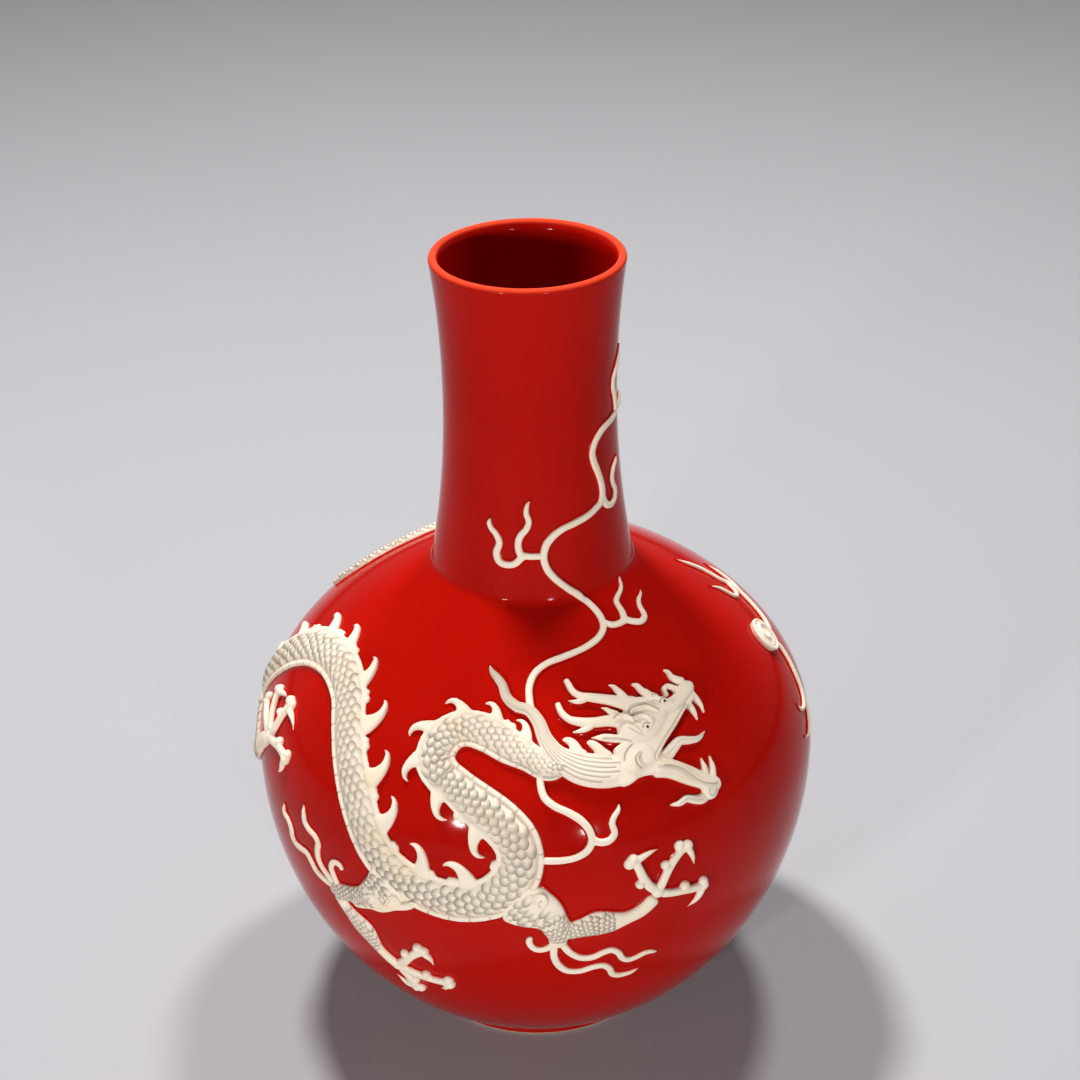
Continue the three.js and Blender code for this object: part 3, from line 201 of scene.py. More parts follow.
def add_node(tree, kind, output, **settings):
    """An output of a new node. Each setting is a value, or the output that feeds the input."""
    node = tree.nodes.new("ShaderNode" + kind)
    for key, value in settings.items():
        socket = key.replace("_", " ")
        if isinstance(value, bpy.types.NodeSocket):
            tree.links.new(value, node.inputs[socket])
        elif socket in node.inputs:
            node.inputs[socket].default_value = value
        else:
            setattr(node, key, value)
    return node.outputs[output]


def blend(tree, factor, a, b):
    """Mixes two colours, each a value or an output."""
    return add_node(tree, "Mix", "Result", data_type="RGBA", Factor=factor, A=a, B=b)


# %% Coral-red glaze
RED_DEEP = (0.31, 0.0022, 0.0008, 1)
RED_THIN = (0.44, 0.0060, 0.0022, 1)
RIM_THIN = (0.72, 0.055, 0.022, 1)
RIM_BAND = 3.2

glaze, tree, shader = new_finish(
    "coral_red_glaze", Roughness=0.09, IOR=1.45, Specular_IOR_Level=0.08
)
where = add_node(tree, "TexCoord", "Object")
mottle = add_node(tree, "TexNoise", "Fac", Vector=where, Scale=9.0, Detail=4.0, Roughness=0.55)
near_rim = add_node(
    tree, "MapRange", "Result", interpolation_type="SMOOTHSTEP",
    Value=add_node(tree, "SeparateXYZ", "Z", Vector=where),
    From_Min=(VASE_HEIGHT - RIM_BAND) * MM, From_Max=VASE_HEIGHT * MM,
)
colour = blend(tree, near_rim, blend(tree, mottle, RED_DEEP, RED_THIN), RIM_THIN)
tree.links.new(colour, shader.inputs["Base Color"])
print("finish:", glaze.name)

# %% Ivory biscuit with grey painted shade in its grooves
IVORY = (0.80, 0.69, 0.55, 1)
IVORY_WARM = (0.78, 0.63, 0.43, 1)
# Grey painted shade, laid into grooves and under edges where shade falls.
SHADE_GREY = (0.13, 0.105, 0.08, 1)
GLAZE_STAIN = (0.72, 0.20, 0.12, 1)
SHADE_LAYER, CREEP = "painted_shade", "creep"

biscuit, tree, shader = new_finish("ivory_biscuit", Roughness=0.62, IOR=1.45)
where = add_node(tree, "TexCoord", "Object")
patches = add_node(tree, "TexNoise", "Fac", Vector=where, Scale=38.0, Detail=3.0, Roughness=0.6)
warm = add_node(tree, "MapRange", "Result", Value=patches, From_Min=0.52, From_Max=0.78)
# The painted shade attribute mixes the ivory towards grey in the grooves and under edges.
painted = add_node(tree, "Attribute", "Fac", attribute_name=SHADE_LAYER)
shaded = blend(tree, painted, blend(tree, warm, IVORY, IVORY_WARM), SHADE_GREY)
crept = add_node(tree, "Attribute", "Fac", attribute_name=CREEP)
stain_share = add_node(tree, "MapRange", "Result", Value=crept, To_Max=0.55)
tree.links.new(blend(tree, stain_share, shaded, GLAZE_STAIN), shader.inputs["Base Color"])
grain = add_node(tree, "TexNoise", "Fac", Vector=where, Scale=320.0, Detail=4.0, Roughness=0.6)
tooth = add_node(tree, "Bump", "Normal", Strength=0.25, Distance=0.0003, Height=grain)
tree.links.new(tooth, shader.inputs["Normal"])
print("finish:", biscuit.name)

# %% Unglazed foot and pupil pigment
foot_clay, _, _ = new_finish("foot_clay", Base_Color=(0.62, 0.47, 0.33, 1), Roughness=0.7)
pigment, _, _ = new_finish("iron_black", Base_Color=(0.012, 0.010, 0.010, 1), Roughness=0.35)

# %% [markdown]
# ## Pieces
#
# A finished piece keeps its place in its own mesh, rides on the pot's one body, and stands for the
# CAD nodes that it dresses. The same few lines do this for every piece, so they are one function.

# %% Finish a piece


def mesh_of(name, bm):
    """A mesh from a bmesh, which is freed."""
    mesh = bpy.data.meshes.new(name)
    bm.to_mesh(mesh)
    bm.free()
    return mesh


def finish_piece(name, mesh, finishes, stands_for=()):
    """An object at the origin from a mesh, smooth shaded, known to the frame."""
    for material in finishes:
        mesh.materials.append(material)
    for face in mesh.polygons:
        face.use_smooth = True
    piece = bpy.data.objects.new(name, mesh)
    bpy.context.scene.collection.objects.link(piece)
    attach(piece, "root")
    if stands_for:
        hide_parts(*stands_for)
        nodes_left.difference_update(stands_for)
    return piece


# %% [markdown]
# ## The thrown wall
#
# A potter throws this wall in three sections and lutes them together. On the wheel a section is a
# profile turned round an axis, and `bmesh.ops.spin` does just that: a chain of points along the
# outline goes out over the outside, and back over the inside. A full spin needs use_merge, or a
# doubled seam shows in the gloss. The last point before each joint lies very close to it, so that
# the shading runs on smoothly from one section to the next.

# %% Spin a section
SPIN_STEPS = 192
WALL_STEP = 3.5
SEAM_SUPPORT = 0.05


def spun(name, profile, finish_of=None):
    """A lathed piece from (radius, height) points in millimetres, outside first."""
    bm = bmesh.new()
    points = [bm.verts.new((r * MM, 0, z * MM)) for r, z in profile]
    for a, b in zip(points, points[1:]):
        bm.edges.new((a, b))
    bmesh.ops.spin(
        bm, geom=bm.verts[:] + bm.edges[:], cent=(0, 0, 0), axis=(0, 0, 1),
        angle=2 * math.pi, steps=SPIN_STEPS, use_merge=True,
    )
    bmesh.ops.remove_doubles(bm, verts=bm.verts[:], dist=1e-7)
    bmesh.ops.recalc_face_normals(bm, faces=bm.faces[:])
    if finish_of:
        for face in bm.faces:
            face.material_index = finish_of(face.calc_center_median() / MM)
    return mesh_of(name, bm)


def wall_thickness(z):
    """The wall thins evenly from the neck's seam to the rim."""
    share = np.clip((z - NECK_SEAM_HEIGHT) / (VASE_HEIGHT - NECK_SEAM_HEIGHT), 0, 1)
    return BELLY_WALL + (RIM_WALL - BELLY_WALL) * share


def outline_points(low, high, inside=False):
    """Points of the wall's outline between two heights, from the low one up."""
    first, last = np.interp([low, high], OUTLINE_Z, OUTLINE_RUN)
    count = max(2, round((last - first) / WALL_STEP))
    between = np.linspace(first, last, count + 1)[1:-1]
    runs = np.concatenate([[first, first + SEAM_SUPPORT], between, [last - SEAM_SUPPORT, last]])
    z = np.interp(runs, OUTLINE_RUN, OUTLINE_Z)
    z[0], z[-1] = low, high
    r = outer_radius(z)
    if inside:
        r = r - wall_thickness(z) / np.maximum(np.interp(runs, OUTLINE_RUN, OUTLINE_OUT), 0.5)
    return list(zip(r, z))


# %% Lower belly with its foot ring
ring_inside = FOOT_RADIUS - FOOT_RING_WIDTH
floor_height = FOOT_RECESS + BASE_THICKNESS
inside = outline_points(floor_height + BASE_THICKNESS, BELLY_HEIGHT, inside=True)[::-1]
lower = [
    (0, FOOT_RECESS),
    (ring_inside - FOOT_CHAMFER, FOOT_RECESS),
    (ring_inside, FOOT_RECESS - FOOT_CHAMFER),
    (ring_inside, FOOT_CHAMFER),
    (ring_inside + 0.4 * FOOT_CHAMFER, 0.4 * FOOT_CHAMFER),
    (ring_inside + FOOT_CHAMFER, 0),
    (FOOT_RADIUS - FOOT_CHAMFER, 0),
    (FOOT_RADIUS - 0.4 * FOOT_CHAMFER, 0.4 * FOOT_CHAMFER),
    (FOOT_RADIUS, FOOT_CHAMFER),
    *outline_points(FOOT_HEIGHT, BELLY_HEIGHT),
    *inside,
    (inside[-1][0] - 0.5 * BASE_THICKNESS, floor_height + 0.3 * BASE_THICKNESS),
    (inside[-1][0] - BASE_THICKNESS, floor_height),
    (0, floor_height),
]


def foot_finish(centre):
    """The ring's underside is wiped clean of glaze before the firing."""
    return 1 if centre.z < FOOT_CHAMFER and centre.xy.length > ring_inside - 1 else 0


mesh = spun("lower_belly_wall", lower, foot_finish)
finish_piece("lower_belly_wall", mesh, [glaze, foot_clay], ["lower_belly"])
print("lower belly:", len(mesh.polygons), "faces")

# %% Upper belly
outside = outline_points(BELLY_HEIGHT, NECK_SEAM_HEIGHT)
inside = outline_points(BELLY_HEIGHT, NECK_SEAM_HEIGHT, inside=True)[::-1]
mesh = spun("upper_belly_wall", [*outside, *inside, outside[0]])
finish_piece("upper_belly_wall", mesh, [glaze], ["upper_belly"])
print("upper belly:", len(mesh.polygons), "faces")

# %% Neck with a rounded lip
lip_radius = RIM_WALL / 2
lip_height = VASE_HEIGHT - lip_radius
lip_centre = float(outer_radius(lip_height)) - lip_radius
lip_angles = [math.pi * step / 12 for step in range(1, 12)]
lip = [
    (lip_centre + lip_radius * math.cos(angle), lip_height + lip_radius * math.sin(angle))
    for angle in lip_angles
]
outside = outline_points(NECK_SEAM_HEIGHT, lip_height)
inside = outline_points(NECK_SEAM_HEIGHT, lip_height, inside=True)[::-1]
inside[0] = (lip_centre - lip_radius, lip_height)
mesh = spun("neck_wall", [*outside, *lip, *inside, outside[0]])
finish_piece("neck_wall", mesh, [glaze], ["neck"])
print("neck:", len(mesh.polygons), "faces")

# %% [markdown]
# ## Rolling clay
#
# Each sprig starts as rolled or cut clay laid along a line. A route of a few given rows (turn,
# climb, and a width where it isn't 1) is smoothed with a centripetal Catmull-Rom curve, a flat grid
# is made with `bmesh.ops.create_grid`, and its points are wrapped round the route as a low rounded
# strip, sunk a little into the wall. Where its ends taper to nothing the points meet, and
# remove_doubles welds them and the seam of the section.

# %% A smooth route from a few rows
ROUTE_SAMPLES = 24
LOOK_AHEAD = 0.4


def smooth_route(rows):
    """A smooth curve through rows of (turn, climb, width). A row without a width has width 1."""
    knots = np.array([(turn, climb * 2, *(width or [1])) for turn, climb, *width in rows], float)
    first = 2 * knots[0] - knots[1]
    last = 2 * knots[-1] - knots[-2]
    knots = np.vstack([first, knots, last])
    pieces = []
    for p0, p1, p2, p3 in zip(knots, knots[1:], knots[2:], knots[3:]):
        gaps = [max(np.linalg.norm(b - a), 1e-4) ** 0.5 for a, b in ((p0, p1), (p1, p2), (p2, p3))]
        start = (p1 - p0) / gaps[0] - (p2 - p0) / (gaps[0] + gaps[1]) + (p2 - p1) / gaps[1]
        end = (p2 - p1) / gaps[1] - (p3 - p1) / (gaps[1] + gaps[2]) + (p3 - p2) / gaps[2]
        start, end = start * gaps[1], end * gaps[1]
        t = np.linspace(0, 1, ROUTE_SAMPLES, endpoint=False)[:, None]
        pieces.append(
            p1 * (2 * t**3 - 3 * t**2 + 1)
            + start * (t**3 - 2 * t**2 + t)
            + p2 * (-2 * t**3 + 3 * t**2)
            + end * (t**3 - t**2)
        )
    path = np.vstack([*pieces, knots[-2][None]])
    turn, climb, width = path[:, 0], path[:, 1] / 2, path[:, 2]
    middle = girth_at((climb[1:] + climb[:-1]) / 2)
    steps = np.hypot(np.radians(np.diff(turn)) * middle, np.diff(climb) * CLIMB_MM)
    run = np.concatenate([[0], np.cumsum(steps)])
    return {"run": run, "turn": turn, "climb": climb, "width": width, "length": run[-1]}


def at(route, run, what="width"):
    """A route's width, turn or climb at a run."""
    return np.interp(run, route["run"], route[what])


def along(route, run, across):
    """Turn and climb of points at a run along a route and a real distance to its right."""
    turn, climb = at(route, run, "turn"), at(route, run, "climb")
    ahead, behind = run + LOOK_AHEAD, run - LOOK_AHEAD
    round_mm = np.radians(at(route, ahead, "turn") - at(route, behind, "turn")) * girth_at(climb)
    up_mm = (at(route, ahead, "climb") - at(route, behind, "climb")) * CLIMB_MM
    size = np.maximum(np.hypot(round_mm, up_mm), 1e-9)
    return shifted(turn, climb, across * up_mm / size, -across * round_mm / size)


def heading(route, run, span, climb):
    """Which way a route goes at a run: millimetres round the wall and up it."""
    before, after = along(route, run - span, 0), along(route, run + span, 0)
    return np.array([
        np.radians(after[0] - before[0]) * float(girth_at(climb)), (after[1] - before[1]) * CLIMB_MM
    ])


def nearest_on(route, place):
    """The run, the width and the vector from a place to a route's nearest point."""
    dx = np.radians(route["turn"] - place[0]) * float(girth_at(place[1]))
    dy = (route["climb"] - place[1]) * CLIMB_MM
    i = int(np.argmin(np.hypot(dx, dy)))
    return route["run"][i], route["width"][i], np.array([dx[i], dy[i]])


# %% Grids of points
WELD = 2e-6


def grid(bm, columns, rows):
    """A flat grid of points: their shares (0 to 1) both ways, and the points."""
    made = bmesh.ops.create_grid(bm, x_segments=columns, y_segments=rows, size=0.5)["verts"]
    shares = np.array([vert.co[:2] for vert in made]) + 0.5
    return shares[:, 0], shares[:, 1], made


def move_points(bm, verts, places, weld=True):
    """Moves points to their places, and welds those that meet."""
    for vert, place in zip(verts, places):
        vert.co = place
    if weld:
        bmesh.ops.remove_doubles(bm, verts=verts, dist=WELD)


def crowded(share, amount):
    """Shares of a length moved towards both ends, where a strip narrows."""
    return share - np.sin(2 * np.pi * share) * amount / (2 * np.pi)


def round_end(near, least=1e-4):
    """How wide a round end is at a share of its length, from the tip inwards."""
    return np.sqrt(np.clip(1 - (1 - np.clip(near, 0, 1)) ** 2, least, 1))


def close_holes(bm):
    """Closes every open rim in a bmesh."""
    bmesh.ops.holes_fill(bm, edges=[edge for edge in bm.edges if edge.is_boundary], sides=0)


# %% Lay a strip
SINK = 1.2
FLAT_SIDE, FLAT_TOP = 0.72, 0.5
STRIP_AROUND, STRIP_TIP = 14, 0.6


def lay_strip(bm, rows, half, rise, spacing, put=over_wall):
    """A low rounded strip along a route. Its ends are rounded over a share of the half width."""
    route = smooth_route(rows)
    length = route["length"]
    share, turned, verts = grid(bm, max(6, round(length / spacing)), STRIP_AROUND)
    share = crowded(share, 0.5)
    run = share * length
    # A strip rolled by hand is never quite even.
    uneven = 1 + 0.05 * np.sin(run / 5.3 + 40 * route["turn"][0]) * np.sin(run / 13 + 2)
    width = at(route, run) * half * uneven
    reach = np.maximum(STRIP_TIP * at(route, [0, length]) * half, 0.3)
    ending = round_end(np.minimum(share * length / reach[0], (1 - share) * length / reach[1]), 0)
    angle = 2 * np.pi * turned
    side = np.sign(np.cos(angle)) * np.abs(np.cos(angle)) ** FLAT_SIDE
    top = np.sin(angle)
    lift = np.where(top > 0, rise * np.abs(top) ** FLAT_TOP * ending**0.5, top * SINK)
    slim = np.clip(width / (0.6 * rise), 0.35, 1)
    turn, climb = along(route, run, side * width * ending)
    move_points(bm, verts, put(turn, climb, np.where(top > 0, lift * slim, lift)))


# %% Press a ball


def press_ball(bm, place, radius, rise, put=over_wall):
    """A ball of clay pressed on the wall: a dome with its underside sunk into it."""
    made = bmesh.ops.create_icosphere(bm, subdivisions=3, radius=1.0)["verts"]
    x, y, z = np.array([vert.co[:] for vert in made]).T
    lift = np.where(z > 0, rise * np.abs(z) ** 0.8, z * SINK)
    move_points(bm, made, put(*shifted(*place, x * radius, y * radius), lift), weld=False)


# %% [markdown]
# ## Fusing and carving
#
# Strips and balls that belong to one sprig are pressed together, and their joints smoothed with a
# wet finger. A voxel remesh does the pressing, and a few rounds of `bmesh.ops.smooth_vert` the
# finger's work. Grooves are then carved with a point: every vertex near a groove's line is pushed
# down, and is painted with as much grey shade as it sinks.

# %% Fuse a sprig
VOXEL = 0.6
CREEP_REACH = 2.0


def points_of(mesh):
    """A mesh's points as rows of x, y and z."""
    co = np.empty(len(mesh.vertices) * 3)
    mesh.vertices.foreach_get("co", co)
    return co.reshape(-1, 3)


def put_points(mesh, points):
    """Moves a mesh's points to new places."""
    mesh.vertices.foreach_set("co", points.ravel())
    mesh.update()


def fuse(name, bm, voxel=VOXEL, rounds=4, bend=None):
    """One closed skin over everything in a bmesh, smoothed a little, and bent if it was laid flat."""
    bmesh.ops.recalc_face_normals(bm, faces=bm.faces[:])
    raw = mesh_of(name + "_raw", bm)
    helper = bpy.data.objects.new(name + "_raw", raw)
    bpy.context.scene.collection.objects.link(helper)
    remesh = helper.modifiers.new("press", "REMESH")
    remesh.mode = "VOXEL"
    remesh.voxel_size = voxel * MM
    depsgraph = bpy.context.evaluated_depsgraph_get()
    mesh = bpy.data.meshes.new_from_object(helper.evaluated_get(depsgraph))
    bpy.data.objects.remove(helper)
    bpy.data.meshes.remove(raw)
    bm = bmesh.new()
    bm.from_mesh(mesh)
    every_way = {"use_axis_x": True, "use_axis_y": True, "use_axis_z": True}
    for _ in range(rounds):
        bmesh.ops.smooth_vert(bm, verts=bm.verts[:], factor=0.5, **every_way)
    bm.to_mesh(mesh)
    bm.free()
    mesh.name = name
    if bend:
        put_points(mesh, bend(points_of(mesh)))
    return mesh


def paint(mesh, layer_name, amount):
    """Stores how much painted shade, or how much crept glaze, each vertex carries."""
    layer = mesh.attributes.get(layer_name) or mesh.attributes.new(layer_name, "FLOAT", "POINT")
    layer.data.foreach_set("value", np.clip(amount, 0, 1).astype(np.float32))


def finish_sprig(name, mesh, nodes):
    """A biscuit piece whose lowest edge took some red from the glaze round it."""
    paint(mesh, CREEP, 1 - place_of(points_of(mesh))[2] / CREEP_REACH)
    finish_piece(name, mesh, [biscuit], nodes)
    mesh.calc_loop_triangles()
    print(name, len(mesh.loop_triangles), "triangles")


# %% Carve a sprig


def smooth_line(rows):
    """A line of places made smooth, unless it is just two of them."""
    line = np.array([row[:2] for row in rows], float)
    if len(line) < 3:
        return line
    smooth = smooth_route(line)
    runs = np.linspace(0, smooth["length"], max(3, round(smooth["length"] / 1.2)))
    return np.stack([at(smooth, runs, "turn"), at(smooth, runs, "climb")], -1)


def carve(mesh, marks):
    """Carves grooves and paints shade in them. A mark is (rows of turn and climb, half width, depth,
    painted shade).
    """
    turn, climb, lift = place_of(points_of(mesh))
    sunk, painted_shade = np.zeros(len(turn)), np.zeros(len(turn))
    for rows, half, depth, dark in marks:
        line = smooth_line(rows)
        girth = float(girth_at(line[:, 1].mean()))
        scale = np.array([np.radians(1) * girth, CLIMB_MM])
        pad = np.array([np.degrees(3 * half / girth), 3 * half / CLIMB_MM])
        low, high = line.min(0) - pad, line.max(0) + pad
        near = np.where(
            (lift > 0.4) & (turn > low[0]) & (turn < high[0]) & (climb > low[1]) & (climb < high[1])
        )[0]
        spots = np.stack([turn[near], climb[near]], -1) * scale
        line = line * scale
        best = np.full(len(near), np.inf)
        for a, b in zip(line, line[1:]):
            step = b - a
            share = np.clip(((spots - a) @ step) / max(step @ step, 1e-9), 0, 1)
            best = np.minimum(best, np.linalg.norm(spots - a - share[:, None] * step, axis=1))
        profile = np.exp(-((best / half) ** 2))
        sunk[near] = np.maximum(sunk[near], profile * depth)
        # Painted shade in the groove, as strong as the mark asks.
        painted_shade[near] = np.maximum(painted_shade[near], profile * dark)
    keep = np.clip(lift / 2, 0, 1)
    put_points(mesh, over_wall(turn, climb, lift - sunk * keep))
    paint(mesh, SHADE_LAYER, painted_shade * keep)


# %% [markdown]
# ## The dragon's body
#
# The body is one long roll of clay, cut into seven lengths where it is luted. Across it run a plain
# belly band on the inner side, a groove, a scaled dome, and a smooth band along the back that the
# fins stand on. A table of heights across the roll gives that section, and each scale finds its
# seat on the same table. One tile serves for every scale, turned and stretched a little each time.

# %% Section across the body
BODY_HALF, BODY_RISE = 17.0, 4.6
BODY_SECTION = np.array([
    (-1, 0), (-0.985, 0.26), (-0.95, 0.44), (-0.88, 0.54), (-0.8, 0.55), (-0.74, 0.46),
    (-0.7, 0.26), (-0.66, 0.3), (-0.6, 0.56), (-0.45, 0.82), (-0.2, 0.97), (0.05, 1),
    (0.3, 0.95), (0.48, 0.82), (0.6, 0.62), (0.66, 0.46), (0.7, 0.42), (0.78, 0.48),
    (0.9, 0.5), (0.96, 0.38), (0.99, 0.2), (1, 0),
])
ROUND_SECTION = np.array([
    (-1, 0), (-0.97, 0.3), (-0.88, 0.55), (-0.7, 0.78), (-0.4, 0.95), (0, 1),
    (0.4, 0.95), (0.7, 0.78), (0.88, 0.55), (0.97, 0.3), (1, 0),
])


def section_lift(section, share):
    """How high a section stands at shares of its half width."""
    return np.interp(share, section[:, 0], section[:, 1])


# %% Lay a roll
ROLL_STEP, ROLL_AROUND = 1.2, 44
# Shares of the points round a roll: those on its top, and those on its flat underside.
ROLL_TOP, ROLL_UNDER = 0.8, 0.2


def lay_roll(bm, route, half, rise, section, start, stop, tip=None, put=over_wall):
    """A roll with a given section across it, with square ends, or tapered ones if tip is given."""
    share, turned, verts = grid(bm, max(4, round((stop - start) / ROLL_STEP)), ROLL_AROUND)
    run = start + share * (stop - start)
    width = at(route, run) * half
    top = turned < ROLL_TOP
    across = np.where(top, -1 + turned * 2 / ROLL_TOP, 1 - (turned - ROLL_TOP) * 2 / ROLL_UNDER)
    lift = np.where(top, rise * section_lift(section, across), -SINK)
    lift = np.where((turned > 0.999) | (np.abs(turned - ROLL_TOP) < 1e-6), 0, lift)
    if tip:
        ending = round_end(np.minimum((run - start) / tip[0], (stop - run) / tip[1]))
        width, lift = width * ending, np.where(lift > 0, lift * ending, lift)
    turn, climb = along(route, run, across * width)
    move_points(bm, verts, put(turn, climb, lift))
    close_holes(bm)


def round_roll(bm, route, half, rise, tip, put=over_wall):
    """A round roll along a whole route."""
    lay_roll(bm, route, half, rise, ROUND_SECTION, 0, route["length"], tip=tip, put=put)


# %% Fins along the back
FIN_HALF, FIN_REACH, FIN_RISE = 4.6, 11.5, 3.4
FIN_SHAPE = [
    [-0.46, -0.86, 1.7], [-0.39, -0.35, 1.42], [-0.29, 0.05, 1.08], [-0.15, 0.36, 0.82],
    [0.03, 0.61, 0.62], [0.25, 0.78, 0.48], [0.5, 0.85, 0.36], [0.74, 0.8, 0.24], [0.94, 0.65, 0.07],
]


def lay_fin(bm, route, place):
    """A hooked fin whose wide root sits on the body's back."""
    run, girth, away = nearest_on(route, place)
    ahead = heading(route, run, 2, place[1])
    ahead /= np.linalg.norm(ahead)
    outward = -away / np.linalg.norm(away)
    size = 0.45 + 0.6 * girth
    rows = []
    for forward, out, width in FIN_SHAPE:
        move = FIN_REACH * size * (forward * ahead + out * outward)
        rows.append((*shifted(*place, *move), width * size))
    lay_strip(bm, rows, FIN_HALF, FIN_RISE, spacing=1.0)
    return run


# %% A tile for the scales
SCALE_LONG, SCALE_WIDE, SCALE_PITCH, SCALE_RISE = 8.6, 6.4, 5.2, 0.7
TILE_SLOPE, TILE_ARCH, TILE_FOLD = 1.05, 0.14, -0.7


def scale_tile():
    """One overlapping scale: a plate with straight sides and a raised, rounded free end."""
    bm = bmesh.new()
    bmesh.ops.create_circle(bm, segments=14, radius=1, cap_ends=True)
    bmesh.ops.inset_region(bm, faces=bm.faces[:], thickness=0.1)
    middle = max(bm.faces, key=lambda face: len(face.verts))
    bmesh.ops.poke(bm, faces=[middle])
    rim = [edge for edge in bm.edges if edge.is_boundary]
    folded = bmesh.ops.extrude_edge_only(bm, edges=rim)["geom"]
    folded = {part for part in folded if isinstance(part, bmesh.types.BMVert)}
    for vert in bm.verts:
        x, y, _ = vert.co
        # The root half of the circle is squared, so that its sides run straight.
        y = y if x > 0 else math.copysign(abs(y) ** 0.45, y)
        z = -0.1 + TILE_SLOPE * (x + 1) / 2 - TILE_ARCH * y**2
        if vert in folded:
            x, y, z = x * 1.04, y * 1.05, TILE_FOLD
        vert.co = (x / 2, y / 2, z)
    close_holes(bm)
    bmesh.ops.recalc_face_normals(bm, faces=bm.faces[:])
    return mesh_of("scale_tile", bm)


TILE = scale_tile()
TILE_X, TILE_Y, TILE_Z = points_of(TILE).T
# Painted shade for each scale: darkest down the folded edge, where the free end throws shade, and a
# little on the rim of the free end.
on_rim = np.hypot(TILE_X * 2, TILE_Y * 2) > 0.95
towards_free = np.clip(0.6 + TILE_X * 1.6, 0.1, 1)
TILE_SHADE = towards_free * np.where(TILE_Z < -0.5, 1.0, np.where(on_rim, 0.7, 0.0))
print("scale tile:", len(TILE.polygons), "faces")

# %% Seats for the scales
# A roll of this half width takes scales of full size, and others smaller ones in proportion.
FULL_SIZE_HALF, LEAST_SIZE, MOST_SIZE = 15.0, 0.55, 1.05
# Rows are staggered by a share of a seat, and each scale is wider than its seat, to overlap.
SEAT_WIDE, STAGGER, OVERLAP = 0.92, 0.25, 1.18


def scale_seats(route, half, start, stop, low, high, fine=1.0):
    """Run, distance across, size and width of scales in staggered rows on part of a roll."""
    seats = []
    run, row = start, 0
    while run < stop:
        width = float(at(route, run)) * half
        size = float(np.clip(width / FULL_SIZE_HALF, LEAST_SIZE, MOST_SIZE)) * fine
        span = width * (high - low)
        count = max(2, round(span / (SCALE_WIDE * SEAT_WIDE * size)))
        shift = STAGGER if row % 2 else -STAGGER
        for k in range(count):
            place = low + (high - low) * (k + 0.5 + shift) / count
            seats.append((run, place * width, size, span / count / SCALE_WIDE * OVERLAP))
        run += SCALE_PITCH * size
        row += 1
    return seats


# %% Find the clay under a scale
# A scale at an edge is drawn in, in a few steps, until all of it has clay under it.
CLAY_TOP, LEAST_CLAY, EDGE_STEPS, EDGE_DRAW = 12.0, 0.6, 6, 0.85


def roll_lift(route, half, rise, section):
    """Tells how high the skin of a roll stands at some runs and distances across."""
    return lambda run, across: rise * section_lift(section, across / (at(route, run) * half))


def clay_lift(mesh, route):
    """Tells how high the clay of a mesh stands at some runs and distances across, 0 beside it."""
    tree = BVHTree.FromPolygons(points_of(mesh).tolist(), [face.vertices for face in mesh.polygons])

    def lift(run, across):
        turn, climb = along(route, run.ravel(), across.ravel())
        high, low = (over_wall(turn, climb, np.full(len(turn), level)) for level in (CLAY_TOP, 0.0))
        found = np.zeros(len(turn))
        for i, (start, end) in enumerate(zip(high, low)):
            hit, _, _, away = tree.ray_cast(Vector(start), Vector(end - start), CLAY_TOP * MM)
            found[i] = CLAY_TOP - away / MM if hit else 0
        return found.reshape(run.shape)
    return lift


# %% Add scales to a sprig


def add_scales(mesh, route, skin, seats):
    """Joins scales to a mesh wherever it has clay, and paints shade round them."""
    painted_shade = np.zeros(len(mesh.vertices), np.float32)
    mesh.attributes[SHADE_LAYER].data.foreach_get("value", painted_shade)
    run0, across0, size, wide = np.array(seats).T[:, :, None]
    # Each scale is cut by hand, so none sits quite like the next.
    hand = np.random.default_rng(len(seats))
    yaw = hand.normal(0, 0.06, (len(seats), 1))
    longer = hand.normal(1, 0.05, (len(seats), 1))
    tilt = 1 + hand.normal(0, 0.12, (len(seats), 1))
    x = TILE_X * SCALE_LONG * size * longer
    y = TILE_Y * SCALE_WIDE * wide
    reach = np.ones(x.shape)
    for _ in range(EDGE_STEPS):
        run = run0 + reach * (x - yaw * y)
        across = across0 + reach * (y + yaw * x)
        clay = skin(run, across)
        reach = np.where(clay > LEAST_CLAY, reach, reach * EDGE_DRAW)
    lift = clay + TILE_Z * SCALE_RISE * size * tilt
    seated = clay.min(axis=1) > LEAST_CLAY
    turn, climb = along(route, run[seated].ravel(), across[seated].ravel())
    bm = bmesh.new()
    bm.from_mesh(mesh)
    before = len(bm.verts)
    for _ in range(seated.sum()):
        bm.from_mesh(TILE)
    bm.verts.ensure_lookup_table()
    move_points(bm, bm.verts[before:], over_wall(turn, climb, lift[seated].ravel()), weld=False)
    bm.to_mesh(mesh)
    bm.free()
    # Each scale's painted shade is a little stronger or weaker than the next one's.
    painted = TILE_SHADE * hand.uniform(0.65, 1, (seated.sum(), 1))
    paint(mesh, SHADE_LAYER, np.concatenate([painted_shade, painted.ravel()]))


